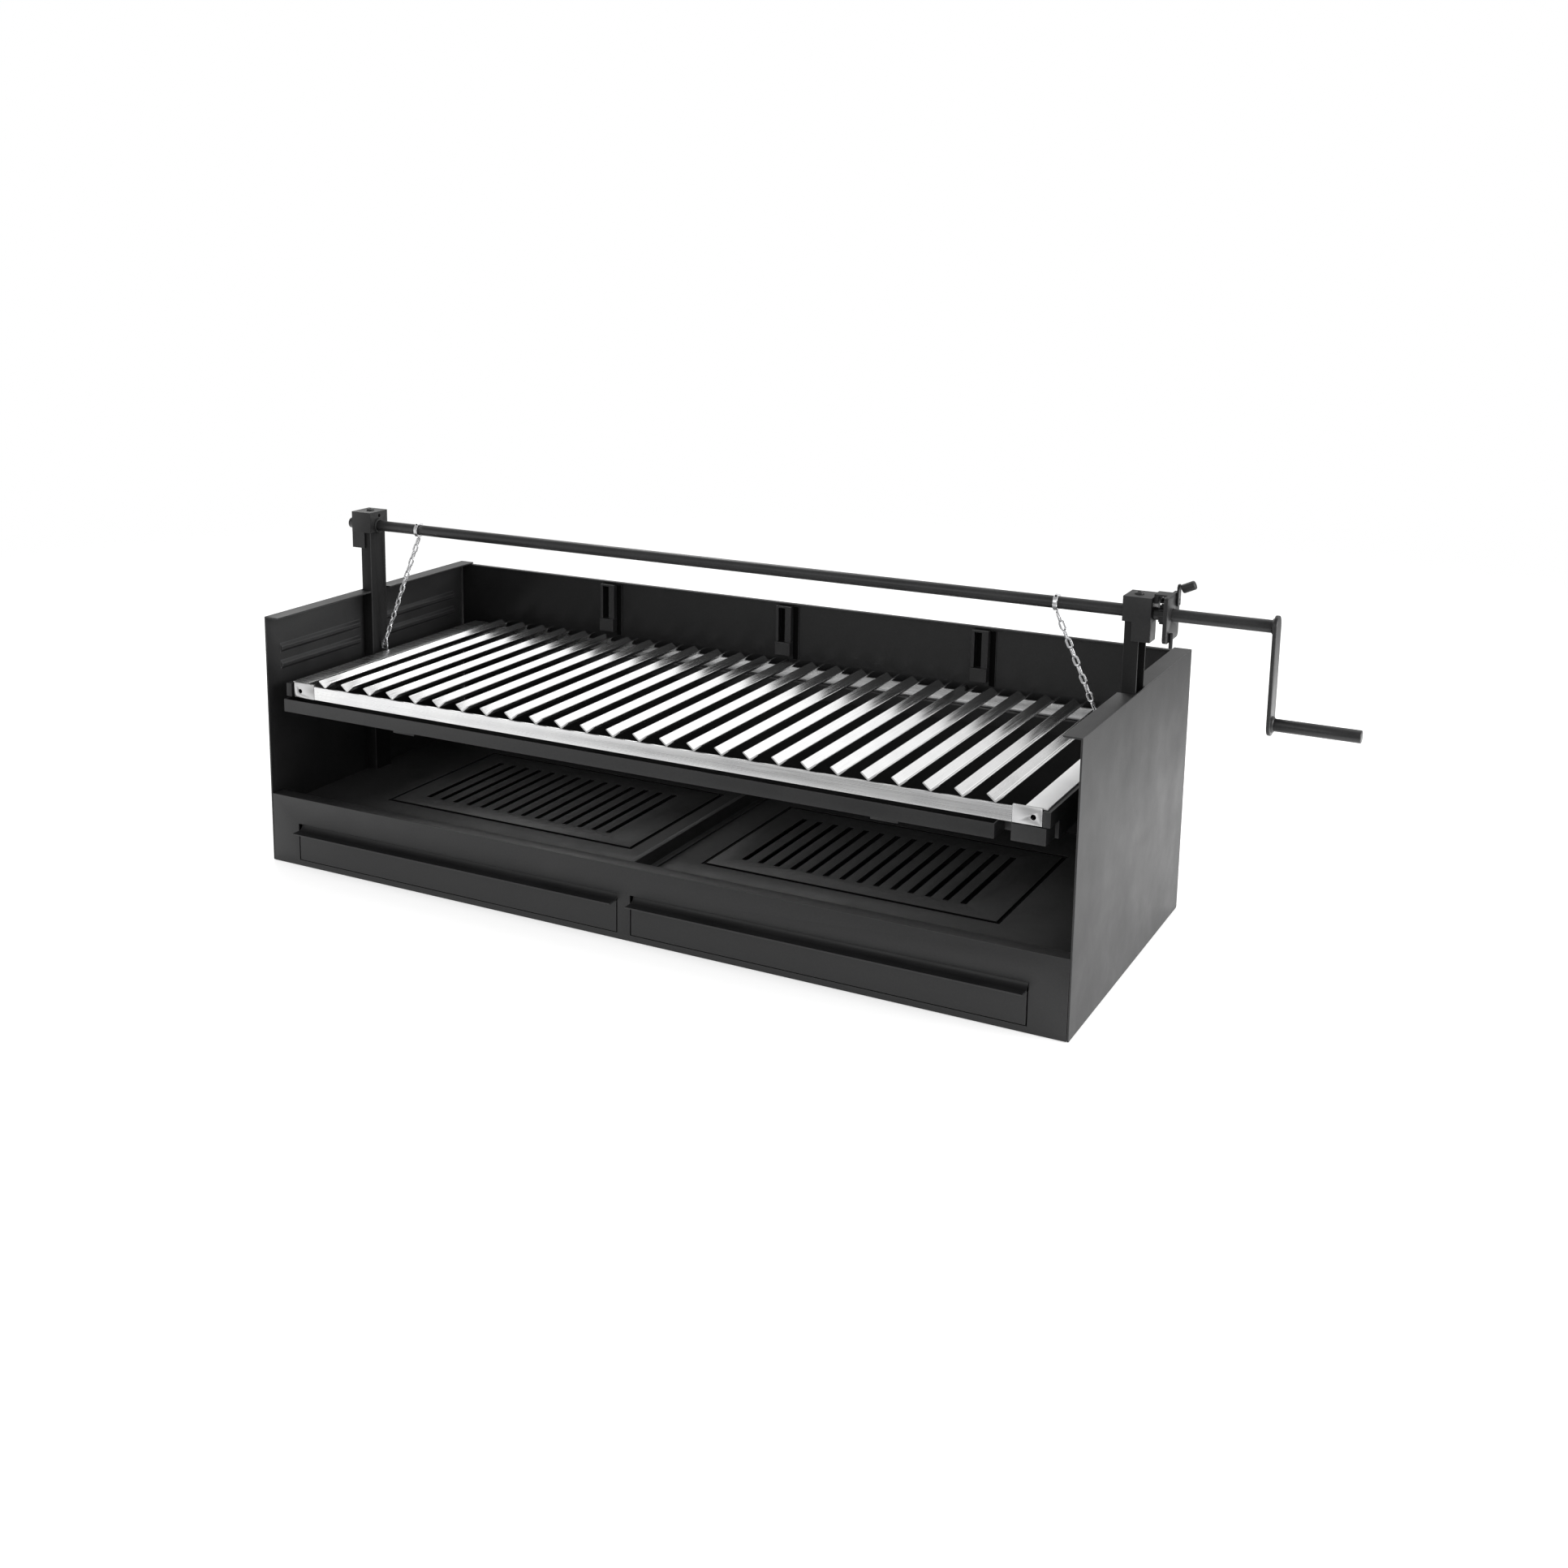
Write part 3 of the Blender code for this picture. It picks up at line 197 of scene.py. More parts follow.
paper_glow = add(paper_tree, "ShaderNodeMath", {0: paper_ray.outputs["Is Glossy Ray"],
                 1: right_reflection_glow.outputs[0], 2: seen_glow.outputs[0]}, operation="MULTIPLY_ADD")
hidden_front = add(paper_tree, "ShaderNodeMath", {0: 1.0, 1: front_fade.outputs[0]},
                   operation="SUBTRACT")
gloss_gone = add(paper_tree, "ShaderNodeMath", {0: paper_ray.outputs["Is Glossy Ray"],
                 1: hidden_front.outputs[0]}, operation="MULTIPLY")
paper_seen = add(paper_tree, "ShaderNodeMath", {0: floor_fade.outputs[0], 1: gloss_gone.outputs[0]},
                 operation="SUBTRACT", use_clamp=True)
paper_shader.inputs["Emission Color"].default_value = (1, 1, 1, 1)
paper_tree.links.new(paper_glow.outputs[0], paper_shader.inputs["Emission Strength"])
paper_tree.links.new(paper_seen.outputs[0], paper_shader.inputs["Alpha"])
floor_mesh.materials.append(paper)


# The housing: folded and spot-welded steel sheet, 2 mm thick, coated with a satin heat-proof black.
# The coat has a fine orange-peel skin; a brighter copy of it on the rolled folds paints a highlight there.
def shader_group(name, inputs, outputs):
    """Start a shader node group and return it with its input and output nodes."""
    group = bpy.data.node_groups.new(name, "ShaderNodeTree")
    for label, kind in inputs:
        group.interface.new_socket(label, in_out="INPUT", socket_type=kind)
    for label, kind in outputs:
        group.interface.new_socket(label, in_out="OUTPUT", socket_type=kind)
    return group, group.nodes.new("NodeGroupInput"), group.nodes.new("NodeGroupOutput")


coat_skin, skin_in, skin_out = shader_group(
    "coat_skin",
    [("Colour", "NodeSocketColor"), ("Thin Colour", "NodeSocketColor"), ("Peel Scale", "NodeSocketFloat"),
     ("Low Roughness", "NodeSocketFloat"), ("High Roughness", "NodeSocketFloat")],
    [("Colour", "NodeSocketColor"), ("Roughness", "NodeSocketFloat"), ("Height", "NodeSocketFloat")],
)
skin_place = add(coat_skin, "ShaderNodeTexCoord").outputs["Object"]
cloudy = add(coat_skin, "ShaderNodeTexNoise", {"Vector": skin_place, "Scale": 16.0, "Detail": 4.0,
             "Roughness": 0.6})
speckle = add(coat_skin, "ShaderNodeTexNoise", {"Vector": skin_place, "Scale": 420.0, "Detail": 2.0})
peel = add(coat_skin, "ShaderNodeTexNoise", {"Vector": skin_place, "Scale": skin_in.outputs["Peel Scale"],
           "Detail": 2.0, "Roughness": 0.45})
thinness = add(coat_skin, "ShaderNodeMapRange", {"Value": cloudy.outputs["Fac"], "From Min": 0.35,
               "From Max": 0.7})
skin_colour = add(coat_skin, "ShaderNodeMix", {0: thinness.outputs[0], 6: skin_in.outputs["Colour"],
                  7: skin_in.outputs["Thin Colour"]}, data_type="RGBA")
speckle_tone = add(coat_skin, "ShaderNodeMapRange", {"Value": speckle.outputs["Fac"], "From Min": 0.3,
                   "From Max": 0.7, "To Min": 0.88, "To Max": 1.12})
skin_speckled = add(coat_skin, "ShaderNodeVectorMath", {0: skin_colour.outputs[2],
                    1: speckle_tone.outputs[0]}, operation="MULTIPLY")
skin_rough = add(coat_skin, "ShaderNodeMapRange", {"Value": cloudy.outputs["Fac"], "From Min": 0.3,
                 "From Max": 0.7, "To Min": skin_in.outputs["Low Roughness"],
                 "To Max": skin_in.outputs["High Roughness"]})
coat_skin.links.new(skin_speckled.outputs[0], skin_out.inputs["Colour"])
coat_skin.links.new(skin_rough.outputs[0], skin_out.inputs["Roughness"])
coat_skin.links.new(peel.outputs["Fac"], skin_out.inputs["Height"])


def coated(name, colour, thin_colour, low, high, peel_scale=620.0, bump=0.00006, metallic=0.0):
    """A painted or oiled steel finish with cloudy tone and an orange-peel skin."""
    finish = bpy.data.materials.new(name)
    finish.use_nodes = True
    tree = finish.node_tree
    shader = tree.nodes["Principled BSDF"]
    skin = add(tree, "ShaderNodeGroup", node_tree=coat_skin)
    skin.inputs["Colour"].default_value = (*colour, 1)
    skin.inputs["Thin Colour"].default_value = (*thin_colour, 1)
    skin.inputs["Peel Scale"].default_value = peel_scale
    skin.inputs["Low Roughness"].default_value = low
    skin.inputs["High Roughness"].default_value = high
    relief = add(tree, "ShaderNodeBump", {"Height": skin.outputs["Height"], "Distance": bump,
                 "Strength": 1.0})
    tree.links.new(skin.outputs["Colour"], shader.inputs["Base Color"])
    tree.links.new(skin.outputs["Roughness"], shader.inputs["Roughness"])
    tree.links.new(relief.outputs[0], shader.inputs["Normal"])
    shader.inputs["Metallic"].default_value = metallic
    return finish


sheet_black = coated("sheet_black", (0.013, 0.013, 0.0135), (0.017, 0.017, 0.0175), 0.42, 0.52)
# A brighter copy of the coat for the rolled folds: a painted highlight along them.
sheet_fold_highlight = coated("sheet_fold_highlight", (0.026, 0.026, 0.027), (0.045, 0.045, 0.046), 0.34, 0.44)
body_of = {node: body for body, nodes in frame["record"]["behaviour"]["bodies"].items()
           for node in nodes}
fold_angle = 32


def folded(node, finish, edge_finish, radius, segments=2, shade_finish=None, shade_test=None,
           reshape=None):
    """Stand a merged copy with rolled edges in for a solid, so that its folds catch the light.

    Faces that the shade test picks get the shade finish, a near-black paint that stands for shade in
    gaps and recesses. A reshape call may move corners.
    """
    shape = bmesh.new()
    shape.from_mesh(frame["nodes"][node].data)
    bmesh.ops.remove_doubles(shape, verts=shape.verts, dist=0.00002)
    bmesh.ops.dissolve_limit(shape, angle_limit=math.radians(0.6), verts=shape.verts,
                             edges=shape.edges)
    if reshape:
        reshape(shape)
    bmesh.ops.recalc_face_normals(shape, faces=shape.faces)
    for face in shape.faces:
        if shade_test and shade_test(face):
            face.material_index = 2
    mesh = bpy.data.meshes.new(f"{node}_made")
    shape.to_mesh(mesh)
    shape.free()
    mesh.materials.append(finish)
    mesh.materials.append(edge_finish)
    mesh.materials.append(shade_finish or finish)
    mesh.shade_smooth()
    piece = bpy.data.objects.new(f"{node}_made", mesh)
    bpy.context.scene.collection.objects.link(piece)
    rolled = piece.modifiers.new("rolled", "BEVEL")
    rolled.width = radius
    rolled.segments = segments
    rolled.limit_method = "ANGLE"
    rolled.angle_limit = math.radians(fold_angle)
    rolled.material = 1
    rolled.harden_normals = True
    rolled.use_clamp_overlap = True
    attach(piece, body_of[node])
    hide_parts(node)


for sheet in ("left_wall", "right_wall", "back_wall", "divider"):
    folded(sheet, sheet_black, sheet_fold_highlight, 0.0006)
folded("base_plate", sheet_black, sheet_fold_highlight, 0.0004)


ground_gap = 0.0001


def lifted(shape):
    """Keep a sheet's lower edge a hair off the ground, so that its rolled edge stays above it."""
    for corner in shape.verts:
        corner.co.z = max(corner.co.z, ground_gap)


folded("front_panel", sheet_black, sheet_fold_highlight, 0.0004, reshape=lifted)


# The fire floor: a black steel pan on two angles, an upright plate across its middle and two loose
# grates with long slots, which lie on the rims of their openings.
hearth_black = coated("hearth_black", (0.015, 0.015, 0.0155), (0.020, 0.020, 0.0205), 0.46, 0.60)
grate_black = coated("grate_black", (0.018, 0.018, 0.0185), (0.024, 0.024, 0.0245), 0.44, 0.58, 380.0)
# A near-black, dull copy of the coat that paints shade in gaps, slots, holes and under the pan.
shade_black = coated("shade_black", (0.0022, 0.0022, 0.0022), (0.0035, 0.0035, 0.0035), 0.85, 0.95, 300.0)
shade_black.node_tree.nodes["Principled BSDF"].inputs["Specular IOR Level"].default_value = 0.1
for sheet in ("hearth_plate", "hearth_support_left", "hearth_support_right"):
    folded(sheet, hearth_black, sheet_fold_highlight, 0.0004)
pan_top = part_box("hearth_pan")[1].z
under_pan = 0.0005
facing_up = 0.5
# The pan's faces that look down or lie below its top take the near-black finish: painted shade under the pan
# and in its openings.
folded("hearth_pan", hearth_black, hearth_black, 0.0003, 2, shade_black,
       lambda face: face.normal.z < facing_up or face.calc_center_median().z < pan_top - under_pan)
grate_play = 0.0026
slot_wear = 0.0009
same_place = 0.0001


def drawn_in(shape):
    """Leave a grate a little smaller than its opening, with its slots burnt a little wider."""
    across = [corner.co.x for corner in shape.verts]
    along = [corner.co.y for corner in shape.verts]
    left, right, front, back = min(across), max(across), min(along), max(along)
    slot_sides = sorted({round(place, 4) for place in across})[1:-1]
    for corner in shape.verts:
        place = round(corner.co.x, 4)
        if place in slot_sides:
            corner.co.x += slot_wear * (1 if slot_sides.index(place) % 2 else -1)
        corner.co.x += grate_play * (abs(corner.co.x - left) < same_place)
        corner.co.x -= grate_play * (abs(corner.co.x - right) < same_place)
        corner.co.y += grate_play * (abs(corner.co.y - front) < same_place)
        corner.co.y -= grate_play * (abs(corner.co.y - back) < same_place)


# The grates' sides and slot walls take the near-black finish: painted shade in the gaps round the grates and
# in their slots.
for sheet in ("grate_left", "grate_right"):
    folded(sheet, grate_black, grate_black, 0.0003, 2, shade_black,
           lambda face: face.normal.z < facing_up, drawn_in)


# The two ash drawers and their runners: thinner sheet with the same coat. A drawer's front is folded
# outwards to a pull in a soft curve that starts from an upstand just inside the opening.
crisp_edge = 0.00005


def finished(name, shape, body, finishes, bevel=0.0, segments=2, angle=fold_angle):
    """Turn a closed form into a piece that rides on a body, with rolled edges."""
    bmesh.ops.recalc_face_normals(shape, faces=shape.faces)
    mesh = bpy.data.meshes.new(name)
    shape.to_mesh(mesh)
    shape.free()
    for finish in finishes:
        mesh.materials.append(finish)
    mesh.shade_smooth()
    piece = bpy.data.objects.new(name, mesh)
    bpy.context.scene.collection.objects.link(piece)
    rolled = piece.modifiers.new("rolled", "BEVEL")
    rolled.width = bevel or crisp_edge
    rolled.segments = segments
    rolled.limit_method = "ANGLE"
    rolled.angle_limit = math.radians(angle)
    rolled.material = 1 if len(finishes) > 1 and bevel else -1
    rolled.harden_normals = True
    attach(piece, body)
    return piece


def drawn(outline, start, end):
    """Draw a closed outline, given in Y and Z, out along X."""
    shape = bmesh.new()
    near = [shape.verts.new((start, y, z)) for y, z in outline]
    far = [shape.verts.new((end, y, z)) for y, z in outline]
    shape.faces.new(near)
    shape.faces.new(far)
    for k in range(len(outline)):
        following = (k + 1) % len(outline)
        shape.faces.new((near[k], near[following], far[following], far[k]))
    return shape


pull_curve = 0.0075
pull_sheet = 0.0015
pull_inset = 0.0035
pull_height = 0.0068


def pull_arc(back, bottom, radius):
    """Points of the curve between the upstand and the lip, from the upstand down."""
    turns = [math.radians(15 * step) for step in range(7)]
    return [(back - pull_curve + radius * math.cos(turn), bottom + pull_curve - radius * math.sin(turn))
            for turn in turns]


for side in ("left", "right"):
    low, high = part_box(f"drawer_{side}_front")
    back = high.y + pull_inset
    top = high.z + pull_height
    under = high.z - pull_sheet
    inside = high.y - pull_sheet
    inner = pull_arc(back, high.z, pull_curve)
    outer = pull_arc(back, high.z, pull_curve + pull_sheet)
    pull = [point for point in inner if point[1] < top] + [(low.y, high.z), (low.y, under)]
    pull += [(inside, under), (inside, low.z), (high.y, low.z), (high.y, under)]
    pull += [point for point in outer[::-1] if high.y < point[0] and point[1] < top]
    pull += [(back + pull_sheet, top), (back, top)]
    front = finished(f"drawer_{side}_pull", drawn(pull, low.x, high.x), f"{side}_drawer",
                     (sheet_black, sheet_fold_highlight), 0.0004, 2, 40)
    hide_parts(f"drawer_{side}_front")
for sheet in ("drawer_left_tray", "drawer_right_tray", "runner_left_outer", "runner_left_inner",
              "runner_right_inner", "runner_right_outer"):
    folded(sheet, hearth_black, sheet_fold_highlight, 0.0003)


# Three hangers on the back wall: strips folded to a shallow channel with a long slot in the face, a
# block welded at the foot and a near-black flange on the wall at the right, which paints the shadow
# beside the channel. The back of the slot is near-black too: painted shade.
def boxed(shape, low, high, material=0):
    """Add a block to a form."""
    corners = [shape.verts.new((x, y, z)) for x in (low[0], high[0]) for y in (low[1], high[1])
               for z in (low[2], high[2])]
    for loop in ((0, 1, 3, 2), (4, 6, 7, 5), (0, 4, 5, 1), (2, 3, 7, 6), (0, 2, 6, 4), (1, 5, 7, 3)):
        shape.faces.new([corners[k] for k in loop]).material_index = material


shade_face = 2
foot_height = 0.0165
foot_proud = 0.0022
slot_start = 0.0034
slot_end = 0.0124
slot_cap = 0.0025
hanger_shift = 0.0010
hanger_reach = 0.0192
web_sheet = 0.0010
flange_sheet = 0.0012
flange_width = 0.0078
flange_below = 0.0060
for node in ("hanger_left", "hanger_middle", "hanger_right"):
    low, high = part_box(node)
    face, wall = low.y + foot_proud, high.y
    left, right = low.x - hanger_shift, low.x + hanger_reach
    slot_left, slot_right = left + slot_start, left + slot_end
    slot_low, slot_high = low.z + foot_height, high.z - slot_cap
    channel = bmesh.new()
    for start, end, bottom in ((left, slot_left, slot_low), (slot_right, right, slot_low),
                               (slot_left, slot_right, slot_high)):
        boxed(channel, (start, face, bottom), (end, wall, high.z))
    # The slot's back web is near-black: painted shade in the slot.
    boxed(channel, (slot_left, wall - web_sheet, slot_low), (slot_right, wall, slot_high), shade_face)
    # The flange on the wall is near-black: a painted shadow beside the channel.
    boxed(channel, (right, wall - flange_sheet, low.z - flange_below),
          (right + flange_width, wall, high.z), shade_face)
    boxed(channel, (left, low.y, low.z), (right, wall, slot_low))
    hanger = finished(f"{node}_made", channel, "housing", (sheet_black, sheet_fold_highlight, shade_black),
                      0.0004)
    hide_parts(node)


# The posts, their caps and the bearing bushes: channel and folded sheet, coated as the housing; the
# posts take a darker, duller copy of that coat, which paints shade on them. A low screw holds each cap
# on its post, and a tab is folded down from the cap outside the wall. A thin near-black disc on each
# cap's inner face paints the shade of a hole.
oiled_steel = coated("oiled_steel", (0.030, 0.030, 0.031), (0.042, 0.042, 0.043), 0.34, 0.46,
                     900.0, 0.00003, 0.3)
# A brighter, more metallic copy of the oiled finish for rolled edges: a painted highlight.
oiled_fold_highlight = coated("oiled_fold_highlight", (0.06, 0.06, 0.06), (0.09, 0.09, 0.09), 0.3, 0.4,
                    900.0, 0.00003, 0.5)
# A darker, duller copy of the housing's coat for the posts: painted shade on them.
post_shaded_black = coated("post_shaded_black", (0.006, 0.006, 0.0062), (0.009, 0.009, 0.0092), 0.50, 0.62)
post_shaded_black.node_tree.nodes["Principled BSDF"].inputs["Specular IOR Level"].default_value = 0.3
for sheet in ("post_left", "post_right"):
    folded(sheet, post_shaded_black, sheet_fold_highlight, 0.0006)
for sheet in ("head_left", "head_right"):
    folded(sheet, sheet_black, sheet_fold_highlight, 0.0006)


def turned(profile, steps=32):
    """Turn a closed profile, given as radius and height, round the Z axis."""
    shape = bmesh.new()
    rings = []
    for radius, height in profile:
        if radius == 0:
            rings.append([shape.verts.new((0, 0, height))] * steps)
            continue
        turns = [2 * math.pi * k / steps for k in range(steps)]
        rings.append([shape.verts.new((radius * math.cos(turn), radius * math.sin(turn), height))
                      for turn in turns])
    pairs = list(zip(rings, rings[1:]))
    if profile[0][0] and profile[-1][0]:
        pairs.append((rings[-1], rings[0]))
    for inner, outer in pairs:
        for k in range(steps):
            corners = []
            for corner in (inner[k], inner[(k + 1) % steps], outer[(k + 1) % steps], outer[k]):
                if corner not in corners:
                    corners.append(corner)
            shape.faces.new(corners)
    return shape


def aimed(shape, place, direction):
    """Point a turned form's height along a direction, from a place."""
    turn = Vector(direction).to_track_quat("Z", "Y").to_matrix().to_4x4()
    bmesh.ops.transform(shape, matrix=Matrix.Translation(place) @ turn, verts=shape.verts)
    return shape


shaft_low, shaft_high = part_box("shaft")
shaft_y = (shaft_low.y + shaft_high.y) / 2
shaft_z = (shaft_low.z + shaft_high.z) / 2
shaft_radius = (shaft_high.z - shaft_low.z) / 2
flange_bore = shaft_radius + 0.0004
flange_rim = 0.0094
tab_sheet = 0.002
tab_height = 0.0203
tab_start = 0.4905
screw_across = 0.4925
screw_socket = 0.0020
for side, sign in (("left", -1), ("right", 1)):
    head_low, head_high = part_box(f"head_{side}")
    inner_face = head_high.x if side == "left" else head_low.x
    outer_face = head_low.x if side == "left" else head_high.x
    flange = turned([(flange_bore, 0), (flange_rim, 0), (flange_rim, 0.0012), (flange_rim - 0.0006, 0.0018),
                     (flange_bore, 0.0018)], 40)
    ring = finished(f"bush_{side}_flange", aimed(flange, (inner_face, shaft_y, shaft_z), (-sign, 0, 0)),
                    "housing", (hearth_black, hearth_black))
    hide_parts(f"bush_{side}")
    tab_back, tab_top = head_low.y + tab_sheet, head_low.z + tab_height
    tab_outline = [(head_low.y, head_low.z), (tab_back, head_low.z), (tab_back, tab_top),
                   (head_low.y, tab_top)]
    tab_from, tab_to = sorted((sign * tab_start, outer_face))
    finished(f"head_{side}_tab", drawn(tab_outline, tab_from, tab_to), "housing",
             (sheet_black, sheet_fold_highlight), 0.0003)
    screw = turned([(0, 0), (0.0048, 0), (0.0048, 0.0006), (0.0043, 0.0017), (0.0031, 0.0025),
                    (0.0022, 0.0026), (screw_socket, 0.0024), (screw_socket, 0.0006), (0, 0.0006)])
    # The screw's socket takes the near-black finish: painted shade in the recess.
    for face in screw.faces:
        middle = face.calc_center_median()
        if math.hypot(middle.x, middle.y) < screw_socket + 0.00005 and middle.z > 0.0002:
            face.material_index = shade_face
    screw_place = (sign * screw_across, shaft_y - 0.0012, head_high.z + 0.0001)
    finished(f"head_{side}_screw", aimed(screw, screw_place, (0, 0, 1)), "housing",
             (oiled_steel, oiled_fold_highlight, shade_black))
    # A thin near-black disc on the cap's inner face paints the shade of a hole.
    hole_shade = turned([(0, 0), (0.0022, 0), (0.0020, 0.0003), (0, 0.0003)], 20)
    hole_shade_place = (inner_face, shaft_y + 0.0012, shaft_z + 0.0128)
    finished(f"head_{side}_pin", aimed(hole_shade, hole_shade_place, (-sign, 0, 0)), "housing",
             (shade_black, shade_black))


# The shaft and the crank: round bar and flat bar in dark satin steel, wiped with oil. The arm is welded
# on the shaft's end, and the grip on the arm.
for bar in ("shaft", "crank_grip", "crank_arm"):
    folded(bar, oiled_steel, oiled_fold_highlight, 0.0008)
crank_low, crank_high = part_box("crank_arm")
bead = turned([(shaft_radius, 0), (shaft_radius + 0.0024, 0), (shaft_radius + 0.0020, 0.0010),
               (shaft_radius + 0.0009, 0.0021), (shaft_radius, 0.0025)], 40)
finished("crank_weld", aimed(bead, (crank_low.x, shaft_y, shaft_z), (-1, 0, 0)), "winch",
         (oiled_steel, oiled_fold_highlight))
grip_low, grip_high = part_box("crank_grip")
grip_z = (grip_low.z + grip_high.z) / 2
grip_radius = (grip_high.z - grip_low.z) / 2
grip_bead = turned([(grip_radius, 0), (grip_radius + 0.0022, 0), (grip_radius + 0.0018, 0.0009),
                    (grip_radius + 0.0008, 0.0019), (grip_radius, 0.0022)], 40)
finished("grip_weld", aimed(grip_bead, (crank_high.x, shaft_y, grip_z), (1, 0, 0)), "winch",
         (oiled_steel, oiled_fold_highlight))


# The ratchet: a plate on a strap that comes over the toothed wheel, a pawl on a pin, and its lever with
# a tilted knob. A short round stem is welded on the plate and hangs past its lower edge.
folded("ratchet_bracket", sheet_black, sheet_fold_highlight, 0.0006)
for piece in ("ratchet_wheel", "pawl", "pawl_lever"):
    folded(piece, oiled_steel, oiled_fold_highlight, 0.0003)
folded("pawl_pin", oiled_steel, oiled_fold_highlight, 0.0004)
folded("pawl_knob", hearth_black, sheet_fold_highlight, 0.0012, 3)
plate_low, plate_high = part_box("ratchet_bracket")
stem_radius = 0.0020
stem_length = 0.0160
stem_round = 0.0006
stem = turned([(0, 0), (stem_radius - stem_round, 0), (stem_radius, stem_round),
               (stem_radius, stem_length - 0.0005), (stem_radius - stem_round, stem_length),
               (0, stem_length)], 20)
stem_place = (plate_high.x + stem_radius, shaft_y - 0.0115, plate_low.z + 0.0100)
finished("bracket_stem", aimed(stem, stem_place, (0, 0, -1)), "housing",
         (oiled_steel, oiled_fold_highlight))


# The lifting frame: black bars welded to a rectangle, with tongues that hold the grease tray. The tray
# is a shallow folded sheet that slides out to the front to be emptied.
folded("lifting_frame", hearth_black, sheet_fold_highlight, 0.0006)
folded("grease_tray", sheet_black, sheet_fold_highlight, 0.0003)


# The rails of the grill: stainless flats and angles, brushed along their length, with a drilled plate
# welded across each front corner.
brushed_grain, brush_in, brush_out = shader_group(
    "brushed_grain",
    [("Stretch", "NodeSocketVector"), ("Colour", "NodeSocketColor"), ("Dark Colour", "NodeSocketColor"),
     ("Low Roughness", "NodeSocketFloat"), ("High Roughness", "NodeSocketFloat")],
    [("Colour", "NodeSocketColor"), ("Roughness", "NodeSocketFloat"), ("Height", "NodeSocketFloat")],
)
brush_place = add(brushed_grain, "ShaderNodeTexCoord").outputs["Object"]
brush_lines = add(brushed_grain, "ShaderNodeVectorMath", {0: brush_place, 1: brush_in.outputs["Stretch"]},
                  operation="MULTIPLY")
brush_noise = add(brushed_grain, "ShaderNodeTexNoise", {"Vector": brush_lines.outputs[0], "Scale": 1.0,
                  "Detail": 3.0, "Roughness": 0.6})
stain = add(brushed_grain, "ShaderNodeTexNoise", {"Vector": brush_place, "Scale": 22.0, "Detail": 3.0})
stain_share = add(brushed_grain, "ShaderNodeMapRange", {"Value": stain.outputs["Fac"], "From Min": 0.4,
                  "From Max": 0.75})
brush_colour = add(brushed_grain, "ShaderNodeMix", {0: stain_share.outputs[0], 6: brush_in.outputs["Colour"],
                   7: brush_in.outputs["Dark Colour"]}, data_type="RGBA")
brush_rough = add(brushed_grain, "ShaderNodeMapRange", {"Value": brush_noise.outputs["Fac"], "From Min": 0.3,
                  "From Max": 0.7, "To Min": brush_in.outputs["Low Roughness"],
                  "To Max": brush_in.outputs["High Roughness"]})
brushed_grain.links.new(brush_colour.outputs[2], brush_out.inputs["Colour"])
brushed_grain.links.new(brush_rough.outputs[0], brush_out.inputs["Roughness"])
brushed_grain.links.new(brush_noise.outputs["Fac"], brush_out.inputs["Height"])


def brushed(name, stretch, colour, dark_colour, low, high, bump):
    """A bare metal finish with brush lines along one direction and a faint cloudy stain."""
    finish = bpy.data.materials.new(name)
    finish.use_nodes = True
    tree = finish.node_tree
    shader = tree.nodes["Principled BSDF"]
    grain = add(tree, "ShaderNodeGroup", node_tree=brushed_grain)
    grain.inputs["Stretch"].default_value = stretch
    grain.inputs["Colour"].default_value = (*colour, 1)
    grain.inputs["Dark Colour"].default_value = (*dark_colour, 1)
    grain.inputs["Low Roughness"].default_value = low
    grain.inputs["High Roughness"].default_value = high
    relief = add(tree, "ShaderNodeBump", {"Height": grain.outputs["Height"], "Distance": bump,
                 "Strength": 1.0})
    tree.links.new(grain.outputs["Colour"], shader.inputs["Base Color"])
    tree.links.new(grain.outputs["Roughness"], shader.inputs["Roughness"])
    tree.links.new(relief.outputs[0], shader.inputs["Normal"])
    shader.inputs["Metallic"].default_value = 1.0
    return finish


lines_along_x = (14, 900, 900)
lines_along_y = (900, 14, 900)
rail_steel = brushed("rail_steel", lines_along_x, (0.80, 0.80, 0.80), (0.72, 0.72, 0.73), 0.22, 0.36,
                     0.00001)
# A brighter, partly diffuse copy of the rail steel for the right side rail only: painted light on that rail.
right_rail_lit_steel = brushed("right_rail_lit_steel", lines_along_y, (0.86, 0.86, 0.86), (0.80, 0.80, 0.81), 0.46, 0.60,
                     0.00001)
right_rail_lit_steel.node_tree.nodes["Principled BSDF"].inputs["Metallic"].default_value = 0.7
plate_steel = brushed("plate_steel", lines_along_x, (0.62, 0.62, 0.62), (0.52, 0.52, 0.53), 0.30, 0.44,
                      0.00001)
for rail in ("front_rail", "rear_rail"):
    folded(rail, rail_steel, rail_steel, 0.0004)
for sheet in ("end_plate_left", "end_plate_right"):
    folded(sheet, plate_steel, rail_steel, 0.0004)
folded("side_rail_left", rail_steel, rail_steel, 0.0004)
# The right side rail takes the brighter copy of the steel: painted light.
folded("side_rail_right", right_rail_lit_steel, right_rail_lit_steel, 0.0004)


